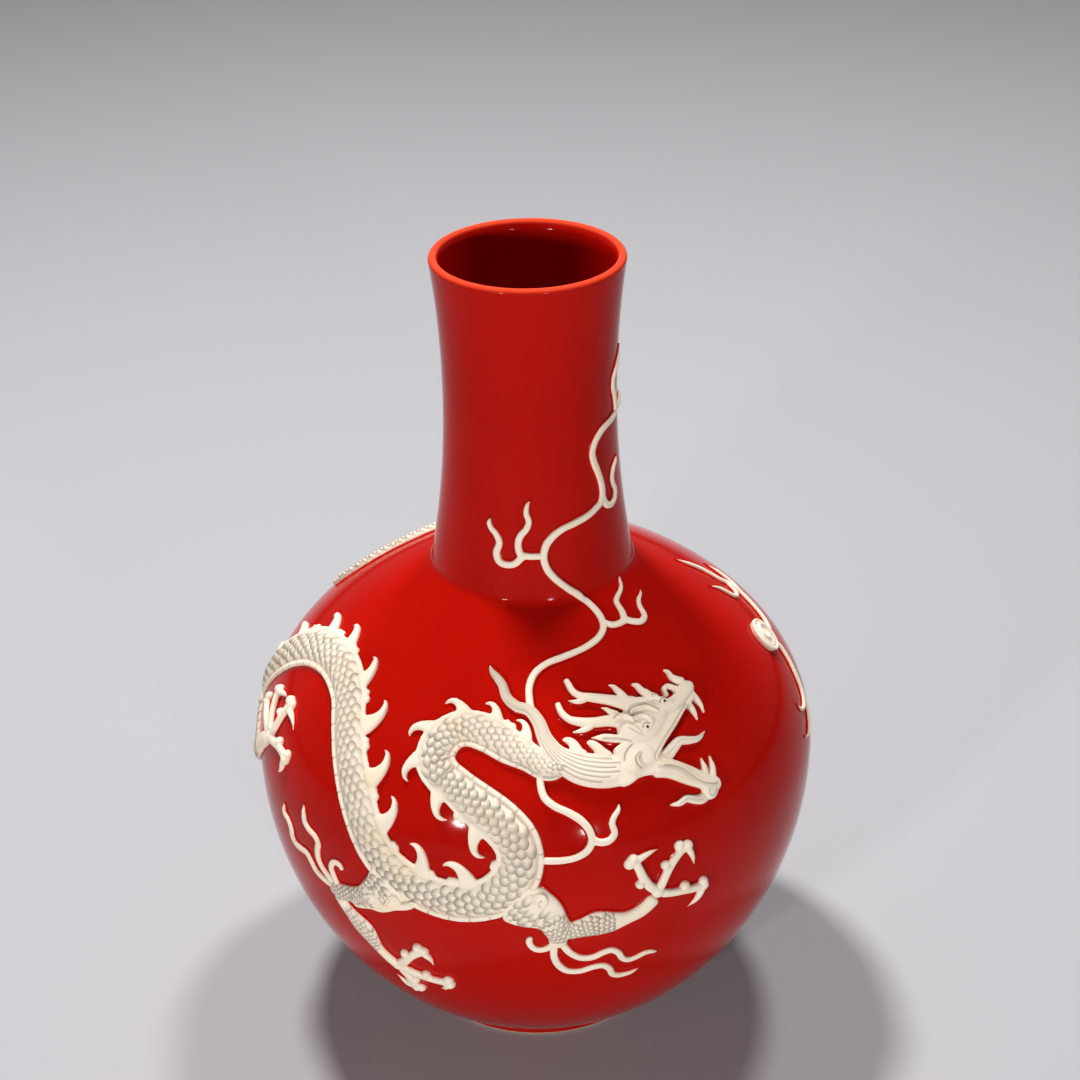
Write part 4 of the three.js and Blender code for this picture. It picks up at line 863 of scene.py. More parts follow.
# %% Route and lengths of the body
BODY_ROUTE = [
    [6.5, 48.6, 0.3], [3, 48.4, 0.5], [-1.5, 49.5, 0.56], [-6, 50.5, 0.68], [-11, 51.6, 0.73],
    [-16, 52, 0.72], [-20.3, 51.5, 0.74], [-23, 50, 0.8], [-23, 48.3, 0.8], [-20.6, 47, 0.76],
    [-17, 46.1, 0.74], [-12.4, 44.7, 0.84], [-7.6, 43.2, 0.88], [-4.4, 41.5, 0.9], [-3.3, 39.6, 0.9],
    [-4.5, 37.3, 0.94], [-7.8, 35.4, 0.96], [-12.2, 34.4, 0.96], [-16.6, 34.1, 0.97], [-21, 34.4, 0.98],
    [-25.3, 35.1, 0.98], [-29.2, 36.2, 0.95], [-32.2, 37.5, 0.92], [-35, 39.4, 0.9], [-37.8, 41.6, 0.9],
    [-41.4, 44.2, 0.87], [-45.1, 46.6, 0.84], [-49.2, 49.1, 0.84], [-53.6, 51.1, 0.86],
    [-60, 52.3, 0.87], [-66.9, 52.6, 0.87], [-73, 52.2, 0.9], [-79.2, 51.1, 0.94], [-85, 48.9, 0.95],
    [-90, 45.9, 0.95], [-94.5, 42.6, 0.95], [-100, 39.3, 0.95], [-107, 37, 0.95], [-115, 36.6, 0.93],
    [-123, 38.4, 0.92], [-129, 42, 0.9], [-135, 46, 0.88], [-144, 49, 0.86], [-154, 50, 0.84],
    [-164, 48.6, 0.8], [-172, 45, 0.78], [-180, 41, 0.76], [-189, 38.4, 0.72], [-198, 39, 0.68],
    [-204, 42.4, 0.64], [-204.5, 46.6, 0.6], [-200, 50.4, 0.56], [-192, 53.2, 0.52], [-182, 55.4, 0.48],
    [-171, 57.8, 0.44], [-159, 60.4, 0.4], [-147, 62.8, 0.36], [-136, 63.8, 0.32], [-127, 62.2, 0.28],
    [-119.5, 59, 0.24], [-113.5, 55.4, 0.18], [-109.8, 51.6, 0.06],
]
# Each length: its name, where it ends, and where its fins stand.
BODY_LENGTHS = [
    ("dragon_body_fore", [-15, 52], [[-3.4, 51.6], [-11.2, 53.2]]),
    ("dragon_body_loop", [-20.6, 47], [[-20.3, 53.4], [-27, 50.8], [-26.9, 47.4]]),
    ("dragon_body_chest", [-18.8, 34.2], [[-19.8, 44.4], [-11.2, 41.4], [-14.7, 37]]),
    ("dragon_body_shoulder", [-60, 52.3],
     [[-23.4, 37.7], [-31.4, 41.7], [-36, 45.8], [-42.6, 50.4], [-53, 53.6]]),
    ("dragon_body_flank", [-118.5, 37.2],
     [[-68.5, 54.9], [-80.5, 53.6], [-91, 49], [-101, 42.4], [-114, 39.6]]),
    ("dragon_body_rear", [-185, 39.5],
     [[-124.5, 43.4], [-135, 48.8], [-150, 52.4], [-167, 50.2], [-177.5, 44.8]]),
    ("dragon_tail", [-109.8, 51.6],
     [[-190, 40.8], [-200, 44], [-196.5, 50.2], [-183, 54], [-167, 57.6], [-150, 61.4],
      [-134.5, 62.6]]),
]
body_route = smooth_route(BODY_ROUTE)
print(f"body: {body_route['length']:.0f} mm long")

# %% Marks and lumps on the body
# The shoulders of the forelegs cover the belly band between these places.
SHOULDER_SPANS = [([-1.5, 36.8], [-8, 34.5]), ([-22, 34.6], [-34.5, 38])]
SHOULDER_RUNS = [[nearest_on(body_route, end)[0] for end in span] for span in SHOULDER_SPANS]


def across_mark(route, half, run, low, high, width, depth, dark):
    """A short groove straight across a roll."""
    reach = float(at(route, run)) * half
    rows = [along(route, run, share * reach) for share in np.linspace(low, high, 3)]
    return [tuple(map(float, row)) for row in rows], width, depth, dark


def side_line(route, half, share, start, stop, step=3.0):
    """Places along a roll at one share of its half width."""
    runs = np.linspace(start, stop, max(3, round((stop - start) / step)))
    return np.stack(along(route, runs, share * at(route, runs) * half), -1)


def bare_spans(start, stop):
    """The stretches of a length whose belly band is not covered by a shoulder."""
    spans = []
    for low, high in SHOULDER_RUNS:
        if start < low < stop:
            spans.append((start, low))
        if start < low < stop or low <= start < high:
            start = min(high, stop)
    if stop - start > 3:
        spans.append((start, stop))
    return spans


def lay_lumps(bm, run):
    """A small lump on the back's edge and a larger one just before it."""
    width = float(at(body_route, run))
    press_ball(bm, along(body_route, run, width * BODY_HALF), 1.1 + width, 2.6)
    press_ball(bm, along(body_route, run - 4, width * (BODY_HALF - 1)), 2.0 + width, 2.5)


# %% Lay the seven lengths
LENGTH_LAP = 1.5
# Lumps stand on the back wherever two fins are further apart than this.
LUMP_GAP = 16
# The scaled dome, in shares of the half width.
SCALED_FROM, SCALED_TO = -0.585, 0.62

body_skin = roll_lift(body_route, BODY_HALF, BODY_RISE, BODY_SECTION)
start = 0.0
for name, end, fin_places in BODY_LENGTHS:
    stop = nearest_on(body_route, end)[0]
    last = name == "dragon_tail"
    lap_from, lap_to = start - (LENGTH_LAP if start else 0), stop + (0 if last else LENGTH_LAP)
    bm = bmesh.new()
    lay_roll(bm, body_route, BODY_HALF, BODY_RISE, BODY_SECTION, lap_from, lap_to)
    fins = [lay_fin(bm, body_route, place) for place in fin_places]
    spread = sorted([*fins, start, stop])
    for a, b in zip(spread, spread[1:]):
        if b - a > LUMP_GAP:
            lay_lumps(bm, (a + b) / 2 + 2)
    mesh = fuse(name + "_sprig", bm, voxel=0.8, rounds=3)
    # Ticks across the belly band, and grooves beside it and along the back, are carved with painted
    # shade in them.
    ticks = [
        across_mark(body_route, BODY_HALF, run, -0.97, -0.74, 0.55, 0.35, 0.55)
        for run in np.arange(start + 6, stop - 4, 11.0)
        if not any(low < run < high for low, high in SHOULDER_RUNS)
    ]
    grooves = [
        (side_line(body_route, BODY_HALF, -0.7, a, b), 0.9, 0.25, 0.45)
        for a, b in bare_spans(start, stop)
    ]
    back_line = side_line(body_route, BODY_HALF, 0.68, start, stop)
    carve(mesh, [*ticks, *grooves, (back_line, 1.2, 0.1, 0.2)])
    scaled_stop = stop - (8 if last else 0)
    seats = scale_seats(body_route, BODY_HALF, start + 1, scaled_stop, SCALED_FROM, SCALED_TO)
    add_scales(mesh, body_route, body_skin, seats)
    finish_sprig(name + "_sprig", mesh, [name])
    start = stop

# %% [markdown]
# ## The head
#
# The head is made flat on a board. A plate cut to its outline gives the edge, and rolls on the plate
# give the masses: skull and snout, cheek, jaw, horns and mane. Thin rolls on top are the lip, the
# brows and the gill. All of it is fused into one skin, bent round the wall, and carved.

# %% Skull, cheek and snout
PLATE_RISE, PLATE_EDGE = 4.4, 1.4
HEAD_HALF, FANG_RISE = 20.0, 4.4
SKULL_SLIM, SKULL_RISE = 0.78, 6.6
CHEEK_SLIM, CHEEK_RISE = 0.8, 5.8
EYE_RADIUS, EYE_RISE = 4.6, 7.4
CHEEK_BALL = ((22.6, 47.7), 6.0, 6.4)
SKULL_ROUTE = [
    [20.3, 50.1, 0.56], [24, 50.9, 0.82], [27.5, 51.2, 0.86], [30.5, 51.7, 0.68], [33.5, 52.1, 0.48],
    [36.3, 51.8, 0.3], [39.3, 52.1, 0.28], [42.3, 52.7, 0.36], [44.5, 52.95, 0.28], [45.8, 53.05, 0.1],
]
CHEEK_ROUTE = [[17.6, 47.2, 0.42], [21, 47.6, 0.62], [24.5, 48.1, 0.66], [27.6, 48.5, 0.42]]
BROW_SPIKE = [
    [33.4, 52.8, 0.24], [31.6, 53.6, 0.17], [30.6, 54.4, 0.11], [29.9, 55.1, 0.085], [28.6, 55.4, 0.03],
]
NOSTRIL = [
    [40.2, 52.7, 0.16], [39.7, 53.5, 0.1], [38.4, 53.9, 0.085], [37, 53.7, 0.085], [36.5, 52.9, 0.1],
]
NOSE_HORN = [
    [43.6, 53.4, 0.2], [42.1, 54, 0.14], [41.4, 54.6, 0.095], [41.4, 55.2, 0.07], [40.6, 55.6, 0.03],
]
UPPER_FANG = [
    [[40.4, 51.9, 0.13], [41.4, 50.9, 0.1], [41.6, 50.2, 0.07], [41.4, 49.5, 0.02]],
    [[43.2, 52.3, 0.14], [44.2, 51.3, 0.1], [44.5, 50.6, 0.07], [44.2, 49.8, 0.02]],
]
SKULL_OUTLINE = [
    (21.8, 49.9), (21.5, 50.9), (21.6, 51.6), (22, 52.3), (23.8, 53.1), (24.6, 54.2), (28.9, 53.8),
    (30.9, 53.6), (32.7, 53.1), (34.2, 52.75), (35.9, 52.6), (38.2, 52.8), (40.7, 53.1), (41.4, 53.5),
    (43.7, 53.7), (45.1, 53.1), (44.7, 52.4), (43.8, 52), (43.7, 51.65), (41.7, 51.45), (40, 51.35),
    (37.6, 50.8), (34.4, 50.05), (31.6, 49.35), (29.4, 48.7), (28, 48.2), (26.9, 47.6), (26.8, 47.1),
    (27.9, 46.6), (26.9, 46), (24.8, 46.2), (22.2, 46.3), (21, 46), (19.3, 45.7), (17.9, 45.7),
    (17.2, 46.3), (17, 47.1), (17.2, 48), (18.2, 48.5), (17.9, 49), (17.9, 49.4), (19.5, 49.8),
]

# %% Horns, ear and mane
HORN_HALF, HORN_RISE = 3.3, 4.2
EAR_HALF, EAR_RISE = 2.8, 3.8
MANE_HALF, MANE_RISE = 11.0, 4.8
HORNS = [
    [[27.5, 53.1, 1.9], [21, 54.3, 1.05], [16, 54.95, 0.85], [12.8, 55.35, 0.72], [11, 55.9, 0.66],
     [10.1, 56.7, 0.62], [9.5, 57.3, 0.5]],
    [[15, 55, 0.6], [12, 54.78, 0.55], [9.2, 55, 0.12]],
    [[25, 53.9, 0.95], [24, 54.9, 0.7], [23, 55.7, 0.42], [21.7, 55.95, 0.1]],
    [[24.5, 51.8, 1.9], [19, 52.3, 1.15], [15, 52.4, 0.95], [11.5, 52.65, 0.85], [8.8, 53.05, 0.72],
     [7, 53.8, 0.66], [6.1, 54.9, 0.5]],
    [[14.5, 52.2, 0.7], [12, 51.85, 0.58], [9, 51.7, 0.12]],
    [[21.5, 52.6, 0.85], [20, 53.1, 0.6], [18.8, 53.6, 0.36], [17.6, 53.8, 0.1]],
]
EAR = [[23, 50.2, 0.8], [19.5, 50.4, 0.95], [16.5, 50.75, 0.85], [13.3, 50.95, 0.1]]
MANE = [
    [[-14.9, 58.8, 0.05], [-13.6, 58.1, 0.17], [-11.6, 57.5, 0.24], [-9.6, 56.7, 0.27], [-8, 55.5, 0.3],
     [-5, 54.6, 0.32], [-1.6, 54.2, 0.35], [0.8, 53, 0.39], [2.3, 51.3, 0.46], [4.8, 49.6, 0.64],
     [9, 48.3, 0.92], [14, 47.6], [19, 47.3, 0.9]],
    [[11, 48.9, 0.5], [9.6, 49.6, 0.4], [8.9, 50.5, 0.28], [7.6, 51, 0.18], [6.3, 51.05, 0.05]],
    [[16.5, 48.4, 0.5], [15.2, 49.2, 0.38], [14.3, 49.9, 0.27], [13, 50.45, 0.18], [12, 50.5, 0.05]],
]

# %% Jaw, tongue and beard
JAW_HALF, JAW_RISE = 6.4, 5.0
TONGUE_HALF, TONGUE_RISE = 4.3, 3.4
BEARD_HALF, BEARD_RISE = 3.6, 3.0
JAW = [
    [25.6, 47, 1.15], [29, 46.4], [32.5, 45.3, 0.95], [35.8, 44.1, 0.86], [38, 43.3, 0.95],
    [40, 43.2, 0.5],
]
LOWER_FANG = [
    [[36.6, 44, 0.4], [37.6, 45, 0.32], [37.9, 46.1, 0.06]],
    [[38.4, 43.6, 0.42], [39.6, 44.8, 0.32], [40.2, 45.9, 0.06]],
]
CHIN_PLACE = [37.3, 42.8]
TONGUE = [
    [28, 47.6, 0.8], [30, 47.6], [32, 48, 0.9], [34.3, 48.4, 0.7], [36.8, 48.1, 0.6],
    [39.2, 47.9, 0.45], [42.2, 48.3, 0.08],
]
BEARD = [
    [37, 42.7], [35, 42.3], [33.1, 42.55, 0.8], [31.5, 42.9, 0.7], [29.6, 42.7, 0.55],
    [27.2, 42.85, 0.1],
]

# %% Lines on the head
LIP = [
    (39.9, 51.4), (37, 50.75), (34.3, 50.05), (31.7, 49.4), (29.5, 48.75), (28, 48.2), (26.8, 47.65),
    (26.9, 47.25), (28.1, 46.95), (30.6, 46.5), (32.3, 45.8), (33.7, 45), (35.2, 44.25), (36.9, 43.8),
    (38.9, 43.4),
]
LOW_BROW = [
    (19.8, 52.2), (21.5, 52.35), (22.9, 52.2), (24.1, 51.8), (25.7, 51.9), (27, 51.85), (28.1, 51.5),
    (28.3, 51), (27.9, 50.5),
]
HIGH_BROW = [(23.8, 52.4), (25.5, 52.7), (27.5, 52.65), (29.2, 52.5), (30.3, 52.1), (31.5, 51.75)]
TOP_BROW = [(31.7, 53.45), (32.6, 53.1), (33.4, 52.85), (34.6, 52.6)]
PUPILS = [(26.9, 50.63), (34, 52.45)]
GILL = [(23.7, 48.55), (22.8, 48.35), (22.2, 48), (22.4, 47.4), (23.2, 47)]
CHEEK_LINE = [(22.4, 49.45), (21.2, 49.15), (20.1, 48.65), (19.6, 48.1)]
EAR_LINE = [(22.3, 49.75), (20.9, 50.1), (18.5, 50.4), (16.1, 50.6)]
CHIN_LINE = [(38.6, 42.9), (37.6, 42.3), (36.6, 42.5), (36.8, 43.1)]
WRINKLES = [
    [(23.2, 51.45), (24.1, 51.1), (24.9, 50.7), (25.2, 50.3)],
    [(22.5, 51.05), (23.4, 50.7), (24.3, 50.3), (25.5, 50)], [(23.9, 51.9), (24.7, 51.5), (26, 51.2)],
    [(30.2, 53.2), (31.2, 52.7), (32.2, 52.4)], [(29.2, 53), (30, 52.6), (31, 52.3)],
]

# %% The board and the bend
HEAD_GIRTH = float(girth_at(50))


def flat(turn, climb, lift):
    """A place on the head before it is bent round the wall."""
    return np.stack([np.radians(turn) * HEAD_GIRTH, climb * CLIMB_MM, lift], -1) * MM


def bend_head(points):
    """Bends the flat head round the wall."""
    x, y, lift = (points / MM).T
    return over_wall(np.degrees(x / HEAD_GIRTH), y / CLIMB_MM, lift)


# %% Cut a plate
CORNER_CUTS = 3


def lay_plate(bm, outline, rise, edge, put=over_wall):
    """A flat plate with a smooth outline and bevelled top edges."""
    places = np.array(outline, float)
    for _ in range(CORNER_CUTS):
        # Cutting the corners again and again rounds the outline.
        after = np.roll(places, -1, axis=0)
        cut = [0.75 * places + 0.25 * after, 0.25 * places + 0.75 * after]
        places = np.stack(cut, 1).reshape(-1, 2)
    turn, climb = places.T
    rim = [bm.verts.new(place) for place in put(turn, climb, np.full(len(turn), -SINK))]
    for a, b in zip(rim, [*rim[1:], rim[0]]):
        bm.edges.new((a, b))
    floor = bmesh.ops.contextual_create(bm, geom=rim)["faces"]
    raised = bmesh.ops.extrude_face_region(bm, geom=floor)["geom"]
    lifted = [part for part in raised if isinstance(part, bmesh.types.BMVert)]
    low, high = (put(turn[:1], climb[:1], np.array([lift]))[0] for lift in (-SINK, rise))
    bmesh.ops.translate(bm, verts=lifted, vec=high - low)
    top = [part for part in raised if isinstance(part, bmesh.types.BMFace)]
    bmesh.ops.bevel(
        bm, geom=top[0].edges[:], offset=edge * MM, segments=3, profile=0.5, affect="EDGES",
        material=-1,
    )


# %% Lay a thin roll on top


def lay_on_top(bm, rows, half, from_lift, rise, put=over_wall):
    """A thin roll on other clay, from a height up, its ends thinning to points."""
    route = smooth_route(rows)
    share, turned, verts = grid(bm, max(6, round(route["length"] / 0.8)), 10)
    run = share * route["length"]
    ending = round_end(np.minimum(share, 1 - share) * route["length"] / (3 * half))
    angle = 2 * np.pi * turned
    turn, climb = along(route, run, np.cos(angle) * at(route, run) * half * ending)
    move_points(bm, verts, put(turn, climb, from_lift + np.sin(angle) * rise * ending))


# %% Lay the head flat


def lay_fine(bm, strips, half, rise):
    """Finely spaced strips on the flat head."""
    for rows in strips:
        lay_strip(bm, rows, half, rise, spacing=0.8, put=flat)


bm = bmesh.new()
lay_plate(bm, SKULL_OUTLINE, PLATE_RISE, PLATE_EDGE, put=flat)
for rows, slim, rise in (
    (SKULL_ROUTE, SKULL_SLIM, SKULL_RISE), (CHEEK_ROUTE, CHEEK_SLIM, CHEEK_RISE),
):
    round_roll(bm, smooth_route(rows), HEAD_HALF * slim, rise, (12, 6), put=flat)
lay_fine(bm, (BROW_SPIKE, NOSTRIL, NOSE_HORN, *UPPER_FANG), HEAD_HALF, FANG_RISE)
lay_fine(bm, (JAW, *LOWER_FANG), JAW_HALF, JAW_RISE)
press_ball(bm, CHIN_PLACE, JAW_HALF, JAW_RISE, put=flat)
lay_fine(bm, HORNS, HORN_HALF, HORN_RISE)
lay_fine(bm, [EAR], EAR_HALF, EAR_RISE)
mane_route = smooth_route(MANE[0])
round_roll(bm, mane_route, MANE_HALF, MANE_RISE, (6, 3), put=flat)
lay_fine(bm, MANE[1:], MANE_HALF, MANE_RISE * 0.8)
press_ball(bm, *CHEEK_BALL, put=flat)
for place in PUPILS:
    press_ball(bm, place, EYE_RADIUS, EYE_RISE, put=flat)
print("head laid:", len(bm.verts), "points")

# %% Ridges on the head
# Each ridge: its line, half width, the height that it starts from, and its own rise.
ridges = [
    (LIP, 1.0, 4.6, 1.8), (LOW_BROW, 1.2, 6.8, 1.9), (HIGH_BROW, 1.2, 6.4, 1.9),
    (TOP_BROW, 1.2, 5.8, 2.0), (GILL, 0.9, 6.6, 1.6),
]
for ridge in ridges:
    lay_on_top(bm, *ridge, put=flat)
mesh = fuse("dragon_head", bm, voxel=0.45, bend=bend_head)

# %% Lines beside ridges


def moved(rows, turn, climb):
    """A line moved by some degrees and some percent."""
    return [(row_turn + turn, row_climb + climb) for row_turn, row_climb in rows]


def above(rows, distance):
    """A line moved up by some millimetres, or down if they are negative."""
    return moved(rows, 0, distance / CLIMB_MM)


# %% Carve the head and the mane
# Mane hairs and the lines on the head are grooves with painted shade in them.
hairs = [
    (side_line(mane_route, MANE_HALF, share, 3, mane_route["length"] - short, 2.5), 0.45, 0.55, 0.5)
    for share, short in ((-0.66, 7), (-0.42, 2), (-0.16, 5), (0.1, 3), (0.36, 9), (0.62, 14))
]
lines = [
    (CHEEK_LINE, 0.6, 0.5, 0.6), (EAR_LINE, 0.6, 0.5, 0.5), (CHIN_LINE, 0.5, 0.4, 0.4),
    *((rows, 0.35, 0.25, 0.5) for rows in WRINKLES),
]
# Lines of painted shade just beside the brows, the lip and the gill, where their ledges throw shade.
shades = [
    (above(LOW_BROW[:7], 1.1), 0.5, 0.3, 0.7), (above(HIGH_BROW, 1.2), 0.5, 0.3, 0.6),
    (above(LIP[8:], -1.3), 0.5, 0.3, 0.6), (moved(LIP[:8], -0.35, 0.1), 0.5, 0.3, 0.5),
    (moved(GILL, -0.35, 0), 0.5, 0.35, 0.6),
]
# Each eye has a crescent of painted shade round its top.
LID_RADIUS, LID_ANGLES = 2.7, np.linspace(0.7, 3.1, 7)
lids = [
    ([shifted(*place, LID_RADIUS * math.cos(a), LID_RADIUS * math.sin(a)) for a in LID_ANGLES],
     0.4, 0.3, 0.8)
    for place in PUPILS
]
carve(mesh, [*hairs, *lines, *shades, *lids])
head_nodes = [
    "dragon_skull", "dragon_lower_jaw", "dragon_horn_upper", "dragon_horn_lower", "dragon_ear",
    "dragon_mane",
]
finish_sprig("dragon_head", mesh, head_nodes)

# %% Pupils
PUPIL_RADIUS, PUPIL_RISE, PUPIL_SINK = 0.95, 0.8, 0.25

bm = bmesh.new()
for place in PUPILS:
    made = bmesh.ops.create_icosphere(bm, subdivisions=2, radius=1.0)["verts"]
    x, y, z = np.array([vert.co[:] for vert in made]).T
    turn, climb = shifted(*place, x * PUPIL_RADIUS, y * PUPIL_RADIUS)
    lift = EYE_RISE - PUPIL_SINK + z * PUPIL_RISE
    move_points(bm, made, over_wall(turn, climb, lift), weld=False)
finish_piece("dragon_pupils", mesh_of("dragon_pupils", bm), [pigment])

# %% A sprig from strips and balls


def sprig(name, strips, voxel, balls=(), marks=(), rounds=4):
    """One fused sprig. A strip is (rows, half, rise); a ball is (place, radius, rise)."""
    bm = bmesh.new()
    for strip in strips:
        lay_strip(bm, *strip, spacing=1.2)
    for ball in balls:
        press_ball(bm, *ball)
    mesh = fuse(name + "_sprig", bm, voxel, rounds)
    carve(mesh, marks)
    finish_sprig(name + "_sprig", mesh, [name])


# The tongue and the beard each have a groove with painted shade down them.
tongue_line, beard_line = (TONGUE[1:], 0.6, 0.3, 0.2), (BEARD[1:-1], 0.5, 0.3, 0.3)
sprig("dragon_tongue", [(TONGUE, TONGUE_HALF, TONGUE_RISE)], 0.5, marks=[tongue_line])
sprig("dragon_beard", [(BEARD, BEARD_HALF, BEARD_RISE)], 0.5, marks=[beard_line])

# %% [markdown]
# ## Legs and paws
#
# A thigh and an upper arm are rolls with the same scales as the body. The forelegs begin with a
# shoulder, a cut plate with a crest or a curl laid on it. On a shoulder or a leg the section is not
# a plain table, so a ray from above finds the clay under each scale, and a scale at an edge is drawn
# in until all of it has clay under it. Each paw is a palm with toes, round pads at the knuckles and
# tapering claws, made by hand and so a little uneven.

# %% Routes of the legs
LEG_HALF, LEG_RISE = 11.0, 4.2
FORELEG_RIGHT = [
    [-2.5, 35.6, 1.1], [1, 33.8, 1.06], [3.3, 31.8, 0.86], [5.6, 30.9, 0.64], [8.3, 31.1, 0.72],
    [11.2, 31.4, 0.92], [14.2, 31.35, 0.76], [17.2, 31.55, 0.47], [20.3, 32.15, 0.45], [23, 33.4, 0.46],
]
ELBOW_RIGHT = [[2.2, 32, 0.75], [3.6, 30.3, 0.62], [3.7, 28.7, 0.5]]
FORELEG_LEFT = [
    [-28.5, 34.4, 1.1], [-32.5, 32.6, 0.92], [-36, 31.5, 0.7], [-40, 30.8, 0.58], [-43, 30.4, 0.62],
    [-45.4, 30.7, 0.45],
]
ELBOW_LEFT = [
    [-43.6, 30.3, 0.5], [-42.6, 29, 0.4], [-41, 28, 0.5], [-39.4, 27.1, 0.78], [-37.9, 26.2, 0.85],
    [-36.6, 25, 0.56], [-35.4, 23.9, 0.34], [-33, 22.5, 0.36], [-31.2, 21.8, 0.34],
]
HIND_LEG_LEFT = [
    [-98, 38.5, 1.2], [-94, 36, 1.1], [-88.5, 34.8, 0.9], [-83.5, 36, 0.76], [-79, 38, 0.7],
    [-75.5, 39.6, 0.56], [-72.5, 40.8, 0.45],
]
HIND_LEG_RIGHT = [
    [-115, 35.5, 1.15], [-119.5, 31.8], [-125, 29.6, 0.8], [-131, 28.8, 0.86], [-137, 28.9, 0.72],
    [-142, 29.6, 0.5], [-146, 30.6, 0.46], [-147.8, 31.1, 0.4],
]

# %% Shoulders
SHOULDER_RISE = LEG_RISE * 0.78
# The shoulders reach beyond the body, so their seats lie at these shares of its half width.
SHOULDER_FROM, SHOULDER_TO, SHOULDER_FINE = -2.4, -0.7, 0.8
SHOULDER_RIGHT = [
    (-7.3, 32.6), (-6, 34.5), (-3, 36.5), (0.4, 36.7), (2, 35.9), (2.8, 34.8), (4.2, 33), (5, 32.1),
    (3.6, 31), (1.2, 31.2), (-0.2, 31.5), (-2.6, 31.7), (-4.6, 31.9),
]
SHOULDER_LEFT = [
    (-24.3, 32.2), (-24, 33), (-27, 34.3), (-31, 35.9), (-33.6, 36), (-34.1, 35.2), (-35.2, 34),
    (-36.6, 33), (-39, 31.6), (-40.4, 30.4), (-39.2, 29.3), (-37.2, 29.6), (-34.5, 30.15),
    (-32.7, 30.1), (-30.9, 30.45), (-28.3, 31.3), (-26.3, 31.6),
]
CREST = [
    (-38.8, 30.3), (-36.9, 31.2), (-34.9, 32.1), (-33, 32.75), (-31.7, 32.5), (-30.7, 31.8),
    (-29.8, 32.6), (-28.9, 33.3), (-27.8, 33.3), (-26.9, 32.6), (-25.5, 32.9), (-23.8, 33.5),
]
BOSS = [
    (-0.6, 34.7), (-0.8, 35.3), (-0.2, 35.9), (0.8, 35.95), (1.5, 35.4), (1.2, 34.7), (0.4, 34.5),
    (0, 34.9), (0.4, 35.3), (0.8, 35.1),
]
SMOOTH_RIGHT = [(-1.4, 37), (-1.8, 34.6), (1, 33.8), (3.4, 34), (3, 37)]
CREST_BAND = [*above(CREST, 3), (-22, 31), (-30, 29.5), (-41, 28.5)]


def within(outline, turn, climb):
    """Which places lie inside an outline, told by counting the sides that a line out crosses."""
    crossed = np.zeros(np.shape(turn), int)
    for (turn_a, climb_a), (turn_b, climb_b) in zip(outline, [*outline[1:], outline[0]]):
        level = (climb_a > climb) != (climb_b > climb)
        crossing = turn_a + (climb - climb_a) / ((climb_b - climb_a) or 1e-9) * (turn_b - turn_a)
        crossed += level & (turn < crossing)
    return crossed % 2 == 1


def shoulder_seats(shoulder, smooth_part):
    """Seats that carry the rows of the body's scales on over a shoulder."""
    near = [nearest_on(body_route, place)[0] for place in shoulder]
    seats = scale_seats(
        body_route, BODY_HALF, min(near), max(near), SHOULDER_FROM, SHOULDER_TO, SHOULDER_FINE
    )
    turn, climb = along(body_route, *np.array(seats)[:, :2].T)
    keep = within(shoulder, turn, climb) & ~within(smooth_part, turn, climb)
    return [seat for seat, kept in zip(seats, keep) if kept]


# %% Legs with scales
# Scales lie on this share of a leg's half width, on both sides.
LEG_SCALED = 0.9


def leg(name, rolls, scaled, shoulder=None, smooth_part=None, top=None, mark=None):
    """A leg from rolls. Scales lie on shares of some rolls, and run on from the body on a shoulder."""
    bm = bmesh.new()
    if shoulder:
        lay_plate(bm, shoulder, SHOULDER_RISE, 1.8)
    routes = [smooth_route(rows) for rows in rolls]
    for route in routes:
        round_roll(bm, route, LEG_HALF, LEG_RISE, (5, 3))
    if top:
        lay_on_top(bm, *top)
    mesh = fuse(name + "_sprig", bm)
    carve(mesh, [mark] if mark else [])
    if shoulder:
        seats = shoulder_seats(shoulder, smooth_part)
        add_scales(mesh, body_route, clay_lift(mesh, body_route), seats)
    for route, (begin, end) in zip(routes, scaled):
        length = route["length"]
        begin, end = begin * length, end * length
        seats = scale_seats(route, LEG_HALF, begin, end, -LEG_SCALED, LEG_SCALED)
        add_scales(mesh, route, clay_lift(mesh, route), seats)
    finish_sprig(name + "_sprig", mesh, [name])


# Each foreleg's mark is a line of painted shade: in the inner turn of the boss, and just above the
# crest.
leg(
    "foreleg_right", [FORELEG_RIGHT, ELBOW_RIGHT], [(0.24, 0.68), (0.1, 0.7)],
    SHOULDER_RIGHT, SMOOTH_RIGHT, (BOSS, 1.0, 3.9, 1.4), (BOSS[6:], 0.4, 0.4, 0.5),
)
leg(
    "foreleg_left", [FORELEG_LEFT, ELBOW_LEFT], [(0.42, 0.95), (0.2, 0.72)],
    SHOULDER_LEFT, CREST_BAND, (CREST, 1.4, 4.4, 1.7), (above(CREST[1:8], 1.6), 0.5, 0.3, 0.5),
)
leg("hind_leg_left", [HIND_LEG_LEFT], [(0.06, 0.72)])
leg("hind_leg_right", [HIND_LEG_RIGHT], [(0.06, 0.72)])

# %% Palms, toes, claws and pads
TOE_HALF, TOE_RISE = 3.3, 3.6
BALL_RADIUS, BALL_RISE = 3.6, 4.4
PAD_SEAT = 0.8
BACK_PAW_PLACE = [-147.5, 31]
